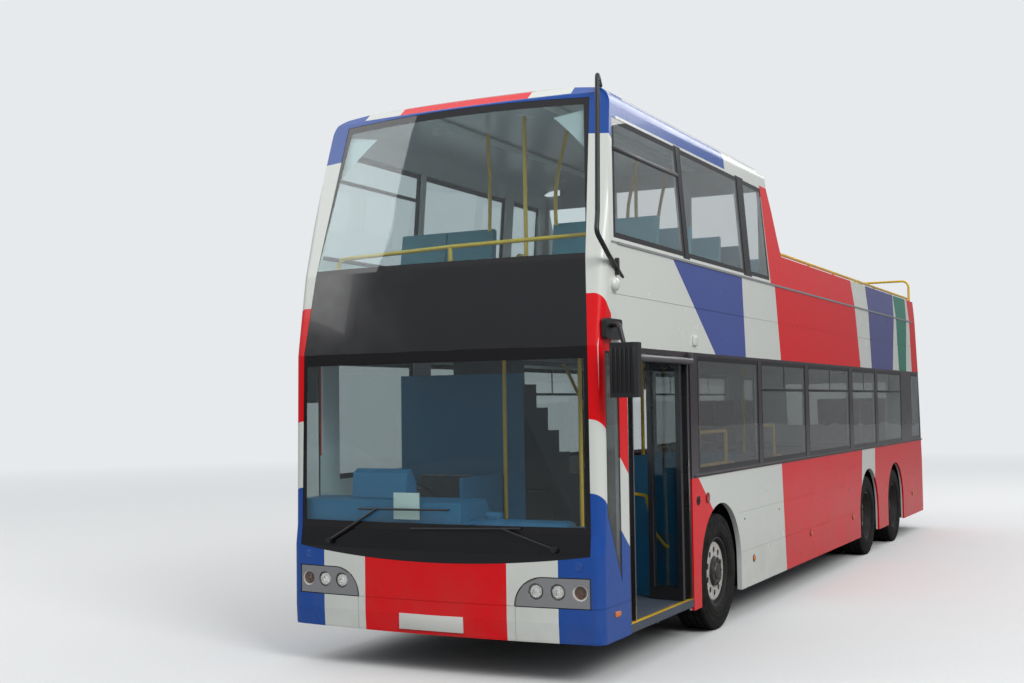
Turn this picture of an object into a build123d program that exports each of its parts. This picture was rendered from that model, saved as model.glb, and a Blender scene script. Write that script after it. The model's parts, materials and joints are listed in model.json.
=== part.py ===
from build123d import *
from functools import cache
import math
import os

# Part open top sightseeing double decker bus on three axles, in millimetres.
# The origin is on the ground under the middle of the bus: +X forward, +Y to the kerb side, +Z up.
# "Set back" always means the distance behind the foremost point of the front bumper.

# Along the bus
FRONT_AXLE = 2600
WHEELBASE = 5770            # front axle to drive axle
AXLE_SPREAD = 1650          # drive axle to tag axle
REAR_OVERHANG = 2180
DRIVE_AXLE = FRONT_AXLE + WHEELBASE
TAG_AXLE = DRIVE_AXLE + AXLE_SPREAD
LENGTH = TAG_AXLE + REAR_OVERHANG

# Cross section
WIDTH = 2530
ROOF_CROWN = 4240
ROOF_EDGE = ROOF_CROWN - 90
CEILING_BREAK = 3005        # height where the upper side starts to lean in
ROOF_EDGE_HALF = 1178
CORNER_FRONT = 75
CORNER_REAR = 130
CORNER_ROOF = 150
BOW_RADIUS = 10300          # plan radius of the bowed front
BOW_RADIUS_REAR = 14000
WALL = 42                   # body side, whole thickness
SEAT_GAP = 0.3              # between pieces that bear on each other
MOVING_GAP = 8              # round doors and flaps
FRONT = LENGTH / 2
HALF = WIDTH / 2
FAR_Y = HALF + 200          # clear of the body on either side
FAR_UP = ROOF_CROWN + 260
SECTION_FOOT = 150          # below the lowest panel
SIDE_REACH = 400            # how far side cuts reach in
FRONT_REACH = 3000          # how far front cuts reach back

# Floors
FLOOR_TOP = 350
FLOOR_PLATE = 28
UPPER_FLOOR_TOP = 2345
UPPER_FLOOR_PLATE = 50
LOWER_CEILING = UPPER_FLOOR_TOP - UPPER_FLOOR_PLATE
ENGINE_DECK = 1250
DECK_SHEET = 20

# Heights of the main seams
SKIRT_BOTTOM = 257
BUMPER_BOTTOM = 285
BUMPER_SEAM = 522
BUMPER_TOP = 870
BUMPER_TOP_MIDDLE = 790
CORNER_FOOT = 530           # foot of the front corner panels beside the bumper
SCUTTLE_TOP = 1010
WAIST = 1290                # lower edge of the lower windows' band
DECK_SEAM = UPPER_FLOOR_TOP - 55
LOWER_SCREEN_TOP = DECK_SEAM - 5
BAND_TOP = 2890
RAIL_LINE = CEILING_BREAK + 5
PARAPET_TOP = CEILING_BREAK + 315
SCREEN_TOP = ROOF_CROWN - 120
CANT = ROOF_CROWN - 280     # where the roof starts above the upper windows

# Front and rear faces as (height, set back from the bumper)
FRONT_FACE = [(200, 25), (300, 8), (420, 0), (BUMPER_TOP, 0), (SCUTTLE_TOP, 20), (LOWER_SCREEN_TOP, 38),
              (BAND_TOP, 140), (SCREEN_TOP, 485), (SCREEN_TOP + 70, 570), (ROOF_CROWN + 90, 990)]
REAR_FACE = [(200, 20), (320, 0), (1000, 0), (DECK_SEAM + 10, 130), (3700, 420), (ROOF_CROWN + 90, 560)]

# Wheels
TYRE_RADIUS = 478.5
TYRE_WIDTH = 275
RIM_RADIUS = 285
WHEEL_TRACK_HALF = 1100
TWIN_SPACING = 318
KINGPIN_Y = 905
KINGPIN_RADIUS = 18
STUB_RADIUS = 35
RUNNING_FIT = 0.05
ARCH_RADIUS = 530
ARCH_CENTRE = TYRE_RADIUS + 40
STEER_BOX_HALF = 615        # half the length of a front wheel box
STEER_BOX_INNER = 615       # distance of its inner wall from the middle
BOX_HALF = 545
BOX_INNER = 600
BOX_TOP = ARCH_CENTRE + ARCH_RADIUS + 15
BOX_SHEET = 18
STEER_BOX_FRONT = FRONT_AXLE - STEER_BOX_HALF - BOX_SHEET
REAR_BOX_FRONT = DRIVE_AXLE - BOX_HALF - BOX_SHEET
REAR_BOX_END = TAG_AXLE + BOX_HALF + BOX_SHEET

# Entrance
DOOR_FRONT = 570            # set back of the doorway's edges
DOOR_REAR = STEER_BOX_FRONT - 77
DOOR_TOP = DECK_SEAM - 40
LEAF_THICK = 30
LEAF_PIN = 22               # pillar pin from the doorway's edge
MEETING_GAP = 12            # between the two middle leaves when shut
LEAF_LENGTH = (DOOR_REAR - DOOR_FRONT - 2 * LEAF_PIN - MEETING_GAP) / 4
LEAF_TOP = DOOR_TOP - 14
LEAF_FRAME = 42
POST_RADIUS = 16
LEAF_OPEN = 80              # degrees, as the bus stands

# Flaps
HATCH_HALF = 850
HATCH_LOW = 430
HATCH_HIGH = 1340
ESCAPE_REAR = DRIVE_AXLE - 890
ESCAPE_FRONT = ESCAPE_REAR - 820
ESCAPE_LOW = FLOOR_TOP + 50
ESCAPE_HIGH = DOOR_TOP - 100
REBATE_LAP = 22             # how far a flap's seat laps round its opening, inwards and outwards
REBATE_DEEP = 16
FLAP_HINGE_RADIUS = 10
FLAP_PIN_RADIUS = 4
HINGE_ROOM = 5              # round a barrel
BARREL_PLAY = 0.5           # between barrels on one pin

# Glass
GLASS = 6
GLASS_SINK = 3
PANE_GAP = 0.4
LENS = 5
LENS_SINK = 4
GROOVE_DEEP = 4
GROOVE_HALF = 3

# Chassis
RAIL_Y = 430
RAIL_WIDE = 60
RAIL_LOW = 240
RAIL_TOP = FLOOR_TOP - FLOOR_PLATE - SEAT_GAP
RAIL_FRONT = 420
RAIL_REAR = LENGTH - 240
ENGINE_BAY_FRONT = REAR_BOX_END + 57
ENGINE_DECK_END = LENGTH - 115

# Stairs and the roof's end
STAIR_FOOT = FRONT_AXLE + 2000      # set back of the lowest riser
STAIR_STEPS = 9
STAIR_GOING = 240
STAIR_INNER = 600
STAIR_OUTER = HALF - WALL - 15
ROOF_END = 4400             # set back where the roof stops


def back(set_back):
    return FRONT - set_back


def block(d0, d1, y0, y1, z0, z1):
    """A box from two set backs, two distances across and two heights."""
    place = Pos((back(d0) + back(d1)) / 2, (y0 + y1) / 2, (z0 + z1) / 2)
    return place * Box(abs(d1 - d0), abs(y1 - y0), abs(z1 - z0))


def side_prism(points, y0, y1):
    """A prism across the bus from an outline of (set back, height) points."""
    outline = make_face(Polyline([(back(d), z) for d, z in points], close=True))
    plane = Plane(origin=(0, max(y0, y1), 0), x_dir=(1, 0, 0), z_dir=(0, -1, 0))
    return extrude(plane * outline, abs(y1 - y0))


def front_prism(outline, x0=-LENGTH, x1=LENGTH):
    """A prism along the bus from a face drawn in (across, height)."""
    plane = Plane(origin=(x0, 0, 0), x_dir=(0, 1, 0), z_dir=(1, 0, 0))
    return extrude(plane * outline, x1 - x0)


def oblong(d0, d1, z0, z1):
    return [(d0, z0), (d1, z0), (d1, z1), (d0, z1)]


def mirrored(shape):
    return mirror(shape, about=Plane.XZ)


def fuse(shapes):
    shapes = list(shapes)
    return shapes[0].fuse(*shapes[1:]) if len(shapes) > 1 else shapes[0]


def write(name, *shapes):
    solids = [solid for shape in shapes for solid in shape.solids()]
    whole = solids[0] if len(solids) == 1 else Compound(children=solids)
    export_step(whole, "parts/" + name + ".step")


os.makedirs("parts", exist_ok=True)


# Envelope: bowed front and rear, raked in steps, cut to the cross section
def plan_outline(inset, radius, corner):
    half = HALF - inset
    bow = radius - inset
    edge = math.sqrt(bow**2 - half**2) - radius
    far = -3 * LENGTH
    lines = [
        ThreePointArc((edge, -half), (-inset, 0), (edge, half)),
        Line((edge, half), (far, half)),
        Line((far, half), (far, -half)),
        Line((far, -half), (edge, -half)),
    ]
    face = make_face(lines)
    tips = [v for v in face.vertices() if v.X > far / 2]
    return fillet(tips, corner - inset)


def raked(face_line, inset, radius, corner):
    """Stack of sheared prisms that follow a face line of (height, set back)."""
    outline = plan_outline(inset, radius, corner).faces()[0]
    steps = []
    for (z0, d0), (z1, d1) in zip(face_line, face_line[1:]):
        start = Pos(-d0, 0, z0) * outline
        steps.append(Solid.extrude(start, Vector(d0 - d1, 0, z1 - z0)))
    return fuse(steps)


def cross_section(inset):
    half = HALF - inset
    top = ROOF_EDGE_HALF - inset
    lines = [
        Line((-half, SECTION_FOOT), (half, SECTION_FOOT)),
        Line((half, SECTION_FOOT), (half, CEILING_BREAK)),
        Line((half, CEILING_BREAK), (top, ROOF_EDGE - inset)),
        ThreePointArc((top, ROOF_EDGE - inset), (0, ROOF_CROWN - inset), (-top, ROOF_EDGE - inset)),
        Line((-top, ROOF_EDGE - inset), (-half, CEILING_BREAK)),
        Line((-half, CEILING_BREAK), (-half, SECTION_FOOT)),
    ]
    face = make_face(lines)
    tips = [v for v in face.vertices() if abs(v.Y - ROOF_EDGE + inset) < 1]
    return fillet(tips, CORNER_ROOF - inset)


@cache
def envelope(inset):
    front = Pos(FRONT, 0, 0) * raked(FRONT_FACE, inset, BOW_RADIUS, CORNER_FRONT)
    rear = raked(REAR_FACE, inset, BOW_RADIUS_REAR, CORNER_REAR)
    rear = Pos(-FRONT, 0, 0) * mirror(rear, about=Plane.YZ)
    return front & rear & front_prism(cross_section(inset))


outer = envelope(0)
inner = envelope(WALL)
lining = envelope(WALL + SEAT_GAP)
skin = envelope(-SEAT_GAP)
shell = outer - inner
flap_shell = outer - envelope(WALL - SEAT_GAP)
rebate_shell = inner - envelope(WALL + REBATE_DEEP)
pane_skin = envelope(GLASS_SINK) - envelope(GLASS_SINK + GLASS)
groove_skin = envelope(-1) - envelope(GROOVE_DEEP)
slat_skin = envelope(GROOVE_DEEP) - envelope(WALL - GROOVE_DEEP)
lens_skin = envelope(LENS_SINK) - envelope(LENS_SINK + LENS)

# Windows as outlines of (set back, height)
LOWER_SILL = WAIST + 35
LOWER_HEAD = DECK_SEAM - 25
UPPER_SILL = CEILING_BREAK + 40
UPPER_HEAD = CANT - 30
FIRST_BAY = DOOR_REAR + 170
AFTER_BAYS = [(DRIVE_AXLE + 626, TAG_AXLE + 540), (LENGTH - 900, LENGTH - 260)]
NEAR_LOWER = [(FIRST_BAY, 3755), (3850, 5430), (5550, DRIVE_AXLE - 944), (DRIVE_AXLE - 790, DRIVE_AXLE + 504),
              *AFTER_BAYS]
OFF_LOWER = [(DOOR_FRONT + 70, DOOR_REAR - 100), (FIRST_BAY, 3755), (3850, 5430), (5550, ESCAPE_FRONT - 100),
             (ESCAPE_REAR + 160, DRIVE_AXLE + 504), *AFTER_BAYS]
# front edge, rear edge at the sill, and how far each edge leans back at the head
UPPER_BAYS = [(380, 1850, 160, 0), (1910, 3450, 0, 0), (3600, ROOF_END - 170, 0, -40)]
LIGHT_FRONT = 186
LIGHT_REAR = 425
LIGHT_SHOULDER = SCUTTLE_TOP + 140
LIGHT_LOW = CORNER_FOOT + 130


def lower_bay(front, rear, grow=0):
    return oblong(front - grow, rear + grow, LOWER_SILL - grow, LOWER_HEAD + grow)


def upper_bay(front, rear, lean_front, lean_rear, grow=0):
    return [(front - grow, UPPER_SILL - grow), (rear + grow, UPPER_SILL - grow),
            (rear + lean_rear + grow, UPPER_HEAD + grow), (front + lean_front - grow, UPPER_HEAD + grow)]


def quarter_light(grow=0):
    return [(LIGHT_FRONT - grow, LOWER_HEAD - 15 + grow), (LIGHT_REAR + grow, LOWER_HEAD - 15 + grow),
            (LIGHT_REAR + grow, LIGHT_LOW - 3 * grow), (LIGHT_FRONT - grow, LIGHT_SHOULDER - 3 * grow)]


def arch_cut(side):
    """Openings over the wheels: a half round on straight sides."""
    cuts = []
    for axle in (FRONT_AXLE, DRIVE_AXLE, TAG_AXLE):
        turned = Pos(back(axle), side * HALF, ARCH_CENTRE) * Rot(90, 0, 0)
        foot = block(axle - ARCH_RADIUS, axle + ARCH_RADIUS, side * (HALF - 2 * WALL), side * (HALF + 2 * WALL),
                     0, ARCH_CENTRE)
        cuts.append(turned * Cylinder(ARCH_RADIUS, 4 * WALL) + foot)
    return fuse(cuts)


# Body zones, as (set back, height) outlines
FRONT_SEAM = DOOR_FRONT
TAIL_LOW = LENGTH - 210
TAIL_HIGH = LENGTH - 640
PILLAR_RISE = CANT - PARAPET_TOP
SKIRT_ZONE = oblong(FRONT_SEAM, TAIL_LOW, SKIRT_BOTTOM, WAIST)
LOWER_ZONE = oblong(FRONT_SEAM, TAIL_LOW, WAIST, DECK_SEAM)
# the screen's edge is shared by the front, the upper sides and the roof
BAND_CORNER = (300, DECK_SEAM)
RAIL_CORNER = (330, RAIL_LINE)
CANT_CORNER = (510, CANT)
ROOF_CORNER = (640, SCREEN_TOP + 10)
UPPER_ZONE = [BAND_CORNER, (TAIL_HIGH, DECK_SEAM), (TAIL_HIGH, PARAPET_TOP),
              (ROOF_END + 320, PARAPET_TOP), (ROOF_END + 230, PARAPET_TOP + 0.28 * PILLAR_RISE),
              (ROOF_END + 120, PARAPET_TOP + 0.67 * PILLAR_RISE), (ROOF_END, CANT), CANT_CORNER, RAIL_CORNER]
ROOF_ZONE = [CANT_CORNER, ROOF_CORNER, (-100, SCREEN_TOP + 10), (-100, FAR_UP), (ROOF_END - 60, FAR_UP),
             (ROOF_END, CANT)]
FRONT_ZONE = [(-100, CORNER_FOOT), (FRONT_SEAM, CORNER_FOOT), (FRONT_SEAM, DECK_SEAM),
              BAND_CORNER, RAIL_CORNER, CANT_CORNER, ROOF_CORNER, (-100, SCREEN_TOP + 10)]
REAR_ZONE = [(TAIL_LOW, SKIRT_BOTTOM), (LENGTH + 100, SKIRT_BOTTOM), (LENGTH + 100, PARAPET_TOP),
             (TAIL_HIGH, PARAPET_TOP), (TAIL_HIGH, DECK_SEAM), (TAIL_LOW, DECK_SEAM)]


def side_of(shape, side):
    return shape & block(-200, LENGTH + 200, 0, side * FAR_Y, 0, FAR_UP)


def side_cut(points, side):
    return side_prism(points, side * (HALF - SIDE_REACH), side * FAR_Y)


def barrels(levels, tall, place):
    """Hinge at each level: fixed barrels with their pin, turning barrel, and the room round both."""
    third = tall / 3
    fixed, turning, fixed_room, turning_room = [], [], [], []
    for level in levels:
        fixed.append(place(level, 0) * Cylinder(FLAP_PIN_RADIUS, tall))
        for shift in (-third, third):
            fixed.append(place(level, shift) * Cylinder(FLAP_HINGE_RADIUS, third - BARREL_PLAY))
            fixed_room.append(place(level, shift) * Cylinder(FLAP_HINGE_RADIUS + HINGE_ROOM, third + 1))
        barrel = Cylinder(FLAP_HINGE_RADIUS, third - BARREL_PLAY)
        turning.append(place(level, 0) * (barrel - Cylinder(FLAP_PIN_RADIUS + RUNNING_FIT, third)))
        turning_room.append(place(level, 0) * Cylinder(FLAP_HINGE_RADIUS + HINGE_ROOM, third + 1))
    return fuse(fixed), fuse(turning), fuse(fixed_room), fuse(turning_room)


# Emergency door in the offside, hinged at its front edge on straps outside the skin
doorway = side_prism(oblong(DOOR_FRONT, DOOR_REAR, 0, DOOR_TOP), HALF - 200, FAR_Y)
escape_way = side_cut(oblong(ESCAPE_FRONT, ESCAPE_REAR, ESCAPE_LOW, ESCAPE_HIGH), -1)
ESCAPE_PIN = ESCAPE_FRONT + MOVING_GAP
ESCAPE_LEVELS = [600, 1200, 1800]
BARREL_TALL = 90
STRAP_LONG = 70
STRAP_THICK = 5


def upright_pin(set_back, y):
    return lambda level, shift: Pos(back(set_back), y, level + shift)


def strap(level, shift, way):
    """Flat strap of a side hinge, forwards of the pin when way is -1."""
    half = BARREL_TALL / 6 - BARREL_PLAY
    middle = level + shift * BARREL_TALL / 3
    return block(ESCAPE_PIN, ESCAPE_PIN + way * STRAP_LONG, -HALF + 3, -HALF - STRAP_THICK,
                 middle - half, middle + half)


escape_fixed, escape_turning, escape_fixed_room, escape_turning_room = barrels(
    ESCAPE_LEVELS, BARREL_TALL, upright_pin(ESCAPE_PIN, -HALF))
fixed_straps = fuse([strap(level, shift, -1) for level in ESCAPE_LEVELS for shift in (-1, 1)])
turning_straps = fuse([strap(level, 0, 1) for level in ESCAPE_LEVELS])
jamb = rebate_shell & side_cut(oblong(ESCAPE_FRONT - REBATE_LAP, ESCAPE_REAR + REBATE_LAP,
                                      ESCAPE_LOW - REBATE_LAP, ESCAPE_HIGH + REBATE_LAP), -1)
jamb -= side_cut(oblong(ESCAPE_FRONT + REBATE_LAP, ESCAPE_REAR - REBATE_LAP,
                        ESCAPE_LOW + REBATE_LAP, ESCAPE_HIGH - REBATE_LAP), -1)
hinge_iron = escape_fixed + fixed_straps
hinge_iron -= escape_turning_room

# Skirts, with grooves where their panels meet and a grille before the offside radiator
skirts = shell & side_prism(SKIRT_ZONE, -FAR_Y, FAR_Y)
SKIRT_SEAMS = [(FRONT_AXLE + ARCH_RADIUS, DRIVE_AXLE - ARCH_RADIUS, 580),
               (FRONT_AXLE + ARCH_RADIUS - 90, DRIVE_AXLE - ARCH_RADIUS + 90, 925)]
seams = fuse([side_prism(oblong(d0, d1, z - GROOVE_HALF, z + GROOVE_HALF), -FAR_Y, FAR_Y)
              for d0, d1, z in SKIRT_SEAMS])
skirts -= seams & groove_skin
near_skirt = side_of(skirts, 1) - arch_cut(1) - doorway
off_skirt = side_of(skirts, -1) - arch_cut(-1) - escape_way
GRILLE_FRONT = LENGTH - 1250
GRILLE_REAR = LENGTH - 450
GRILLE_LOW = 520
GRILLE_HIGH = 1000
SLAT_PITCH = 60
SLAT_THICK = 5
SLAT_DROP = 26
grille_slats = []
for level in range(GRILLE_LOW + 30, GRILLE_HIGH - 10, SLAT_PITCH):
    outline = Polyline([(-HALF, level), (-HALF, level + SLAT_THICK),
                        (WALL - HALF, level + SLAT_THICK + SLAT_DROP),
                        (WALL - HALF, level + SLAT_DROP)], close=True)
    slat = front_prism(make_face(outline), back(GRILLE_REAR + 5), back(GRILLE_FRONT - 5))
    grille_slats.append(slat & slat_skin)
off_skirt -= side_cut(oblong(GRILLE_FRONT, GRILLE_REAR, GRILLE_LOW, GRILLE_HIGH), -1)
off_skirt = fuse([off_skirt, *grille_slats])
below_waist = block(-200, LENGTH + 200, -FAR_Y, FAR_Y, 0, WAIST)
off_skirt = off_skirt + (jamb & below_waist) - escape_turning_room + (hinge_iron & below_waist)
write("nearside_skirt", near_skirt)
write("offside_skirt", off_skirt)

# Lower sides; the headers over the entrance and the emergency door are pieces of their own
lower_sides = shell & side_prism(LOWER_ZONE, -FAR_Y, FAR_Y)
near_lower = side_of(lower_sides, 1)
for bay in NEAR_LOWER:
    near_lower -= side_cut(lower_bay(*bay), 1)
near_header = near_lower & side_cut(oblong(0, DOOR_REAR - SEAT_GAP, DOOR_TOP, FAR_UP), 1)
near_lower &= side_cut(oblong(DOOR_REAR, LENGTH, 0, FAR_UP), 1)
off_lower = side_of(lower_sides, -1)
for bay in OFF_LOWER:
    off_lower -= side_cut(lower_bay(*bay), -1)
off_jamb = jamb & block(-200, LENGTH + 200, -FAR_Y, FAR_Y, WAIST, FAR_UP)
beside_foot = ESCAPE_HIGH - SEAT_GAP
off_front = off_lower & side_cut(oblong(0, ESCAPE_FRONT, 0, FAR_UP), -1)
off_front += off_jamb & side_cut(oblong(0, ESCAPE_FRONT + REBATE_LAP, 0, beside_foot), -1)
off_front = off_front - escape_turning_room + (hinge_iron & block(0, LENGTH, -FAR_Y, FAR_Y, WAIST, FAR_UP))
off_rear = off_lower & side_cut(oblong(ESCAPE_REAR, LENGTH, 0, FAR_UP), -1)
off_rear += off_jamb & side_cut(oblong(ESCAPE_REAR - REBATE_LAP, LENGTH, 0, beside_foot), -1)
header_zone = oblong(ESCAPE_FRONT + SEAT_GAP, ESCAPE_REAR - SEAT_GAP, ESCAPE_HIGH, FAR_UP)
off_header = off_lower & side_cut(header_zone, -1)
lap = REBATE_LAP + SEAT_GAP
header_zone = oblong(ESCAPE_FRONT + lap, ESCAPE_REAR - lap, ESCAPE_HIGH - REBATE_LAP, FAR_UP)
off_header += off_jamb & side_cut(header_zone, -1)
write("nearside_lower_side", near_lower, near_header)
write("offside_lower_side", off_front, off_rear, off_header)

# Upper sides, with a rub rail below their windows and a curved pillar at the roof's end
RUB_RAIL_PROUD = 7
RUB_RAIL_HALF = 9
RUB_RAIL_FRONT = 446
PANEL_SEAM = 2650
upper_sides = shell & side_prism(UPPER_ZONE, -FAR_Y, FAR_Y)
rub_rail = (envelope(-RUB_RAIL_PROUD) - envelope(1)) & side_prism(
    oblong(RUB_RAIL_FRONT, TAIL_HIGH, RAIL_LINE - RUB_RAIL_HALF, RAIL_LINE + RUB_RAIL_HALF), -FAR_Y, FAR_Y)
panel_seam = groove_skin & side_prism(
    oblong(0, TAIL_HIGH + 10, PANEL_SEAM - GROOVE_HALF, PANEL_SEAM + GROOVE_HALF), -FAR_Y, FAR_Y)
near_upper = side_of(upper_sides, 1) - side_of(panel_seam, 1) + side_of(rub_rail, 1)
for bay in UPPER_BAYS:
    near_upper -= side_cut(upper_bay(*bay), 1)
write("nearside_upper_side", near_upper)
write("offside_upper_side", mirrored(near_upper))

# Front opening, in (across, height): scuttle, lower screen, band and upper screen share it
OPENING_FOOT = HALF - 80
OPENING_WAIST = HALF - 93
OPENING_HEAD = HALF - 230
OPENING_HEAD_EDGE = SCREEN_TOP - 36
OPENING_HEAD_MIDDLE = SCREEN_TOP - 7
foot_line = ThreePointArc((-OPENING_FOOT, BUMPER_TOP), (0, BUMPER_TOP_MIDDLE), (OPENING_FOOT, BUMPER_TOP))
opening_face = make_face([
    foot_line,
    Line((OPENING_FOOT, BUMPER_TOP), (OPENING_WAIST, DECK_SEAM)),
    Line((OPENING_WAIST, DECK_SEAM), (OPENING_HEAD, OPENING_HEAD_EDGE)),
    ThreePointArc((OPENING_HEAD, OPENING_HEAD_EDGE), (0, OPENING_HEAD_MIDDLE),
                  (-OPENING_HEAD, OPENING_HEAD_EDGE)),
    Line((-OPENING_HEAD, OPENING_HEAD_EDGE), (-OPENING_WAIST, DECK_SEAM)),
    Line((-OPENING_WAIST, DECK_SEAM), (-OPENING_FOOT, BUMPER_TOP)),
])
opening = front_prism(opening_face, 0, LENGTH)
opening_fit = front_prism(offset(opening_face, -PANE_GAP), 0, LENGTH)
front_skin = shell & side_prism(FRONT_ZONE, -FAR_Y, FAR_Y)
opening_foot = block(-100, FRONT_REACH, -OPENING_FOOT, OPENING_FOOT, BUMPER_BOTTOM, BUMPER_TOP)
front_frame = front_skin - opening - opening_foot
for side in (1, -1):
    front_frame -= side_cut(quarter_light(), side)
write("front_frame", front_frame)

# Bumper: ends at the opening's foot line and steps down to the foot of the corner panels
bumper_zone = front_prism(make_face([
    foot_line,
    Polyline([(OPENING_FOOT, BUMPER_TOP), (OPENING_FOOT, CORNER_FOOT), (FAR_Y, CORNER_FOOT), (FAR_Y, 0),
              (-FAR_Y, 0), (-FAR_Y, CORNER_FOOT), (-OPENING_FOOT, CORNER_FOOT), (-OPENING_FOOT, BUMPER_TOP)]),
]))
bumper = shell & bumper_zone & block(-100, FRONT_SEAM, -FAR_Y, FAR_Y, BUMPER_BOTTOM, BUMPER_TOP)
LAMP_RADIUS = 56
LAMP_CUP = 6
LAMP_DEEP = 60
LAMP_HEIGHT = 628
LAMP_ROWS = [792, 950, 1108]
LAMP_PANEL = [(640, BUMPER_SEAM), (1178, BUMPER_SEAM), (1178, 722), (820, 722), (700, 672), (655, 600)]
lamp_panel_face = make_face(Polyline(LAMP_PANEL, close=True))
panel_line = offset(lamp_panel_face, GROOVE_HALF) - offset(lamp_panel_face, -GROOVE_HALF)
seam_lines = [block(-100, FRONT_REACH, -FAR_Y, FAR_Y, BUMPER_SEAM - GROOVE_HALF, BUMPER_SEAM + GROOVE_HALF)]
for side in (1, -1):
    edge = side * LAMP_PANEL[0][0]
    seam_lines.append(block(-100, FRONT_REACH, edge - GROOVE_HALF, edge + GROOVE_HALF, 0, BUMPER_SEAM))
near_line = front_prism(panel_line, 0, LENGTH)
bumper -= fuse([*seam_lines, near_line, mirrored(near_line)]) & groove_skin


def lamp_at(end, y, z, radius, deep, way):
    """Round bar along the bus from well outside the skin to deep behind the face at that place."""
    bow = (BOW_RADIUS if way < 0 else BOW_RADIUS_REAR)
    sagitta = bow - math.sqrt(bow**2 - y**2)
    long = 200 + sagitta + deep
    return Pos(end + way * (sagitta + deep - long / 2), y, z) * Rot(0, 90, 0) * Cylinder(radius, long)


def lamp_set(end, places, radius, way):
    """Holes, cups behind them and thin lenses, on both sides of the bus."""
    holes, cups, lenses = [], [], []
    under_skin = envelope(LENS_SINK + LENS + 1)
    for y, z in places:
        hole = lamp_at(end, y, z, radius, LAMP_DEEP, way)
        cup = lamp_at(end, y, z, radius + LAMP_CUP, LAMP_DEEP + LAMP_CUP, way) - hole
        lens = lamp_at(end, y, z, radius - PANE_GAP, LAMP_DEEP, way) & lens_skin
        holes += [hole, mirrored(hole)]
        cups += [cup & under_skin, mirrored(cup & under_skin)]
        lenses += [lens, mirrored(lens)]
    return fuse(holes), fuse(cups), lenses


holes, cups, lenses = lamp_set(FRONT, [(y, LAMP_HEIGHT) for y in LAMP_ROWS], LAMP_RADIUS, -1)
bumper = bumper + cups - holes
write("front_bumper", bumper)
write("headlamps", *lenses)

# Roof; its rear corners are rounded in plan
roof = shell & side_prism(ROOF_ZONE, -FAR_Y, FAR_Y)
ROOF_ROUND = 240
round_end = ROOF_END - 60
round_y = ROOF_EDGE_HALF - ROOF_ROUND
corner_cut = block(round_end - ROOF_ROUND, ROOF_END + 50, round_y, FAR_Y, CANT + 110, FAR_UP)
corner_cut -= Pos(back(round_end - ROOF_ROUND), round_y, CANT) * Cylinder(ROOF_ROUND, 2 * ROOF_CROWN)
corner_cuts = corner_cut + mirrored(corner_cut)
write("roof", roof - corner_cuts)

# Dark panels and screens in the front opening
dark_skin = envelope(2) - envelope(24)
scuttle = dark_skin & opening_fit & block(-100, 400, -FAR_Y, FAR_Y, BUMPER_TOP_MIDDLE - 100, SCUTTLE_TOP)
band = dark_skin & opening_fit & block(-100, 400, -FAR_Y, FAR_Y, LOWER_SCREEN_TOP, BAND_TOP)
write("front_dark_panels", scuttle, band)
lower_screen = pane_skin & opening_fit & block(-100, 400, -FAR_Y, FAR_Y, SCUTTLE_TOP + PANE_GAP,
                                               LOWER_SCREEN_TOP - PANE_GAP)
upper_screen = pane_skin & opening_fit & block(-100, 900, -FAR_Y, FAR_Y, BAND_TOP + PANE_GAP, SCREEN_TOP + 50)
write("windscreens", lower_screen, upper_screen)

# Rear wall with its hatch opening, window and lamps
WINDOW_HALF = 760
WINDOW_LOW = 1520
WINDOW_HIGH = LOWER_CEILING - 145
REAR_LAMPS = [(1030, 560), (1030, 720), (1030, 880)]
REAR_LAMP_RADIUS = 55
HATCH_PIN = LENGTH - 26
HATCH_PIN_HEIGHT = HATCH_HIGH - 4


def rear_block(half, low, high):
    return block(LENGTH - 500, LENGTH + 100, -half, half, low, high)


def across_pin(level, shift):
    return Pos(back(HATCH_PIN), level + shift, HATCH_PIN_HEIGHT) * Rot(90, 0, 0)


def bracket(level, shift, z0, z1):
    """Arm from the skin to a barrel of the hatch's hinge."""
    half = BARREL_TALL / 6 - BARREL_PLAY
    middle = level + shift * BARREL_TALL / 3
    return block(HATCH_PIN - 34, HATCH_PIN, middle - half, middle + half, z0, z1)


HATCH_LEVELS = [-600, 600]
hatch_fixed, hatch_turning = barrels(HATCH_LEVELS, BARREL_TALL, across_pin)[:2]
rear = shell & side_prism(REAR_ZONE, -FAR_Y, FAR_Y)
rebate = rebate_shell & rear_block(HATCH_HALF + REBATE_LAP, HATCH_LOW - REBATE_LAP, HATCH_HIGH + REBATE_LAP)
rebate -= rear_block(HATCH_HALF - REBATE_LAP, HATCH_LOW + REBATE_LAP, HATCH_HIGH - REBATE_LAP)
holes, cups, lenses = lamp_set(-FRONT, REAR_LAMPS, REAR_LAMP_RADIUS, 1)
rear = rear - rear_block(HATCH_HALF, HATCH_LOW, HATCH_HIGH) - rear_block(WINDOW_HALF, WINDOW_LOW, WINDOW_HIGH)
rear = rear + rebate + cups - holes
fixed_arms = [bracket(level, shift, HATCH_HIGH - 2, HATCH_HIGH + 36)
              for level in HATCH_LEVELS for shift in (-1, 1)]
rear = fuse([rear, *fixed_arms, hatch_fixed])
write("rear_wall", rear)
write("rear_lamps", *lenses)

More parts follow.
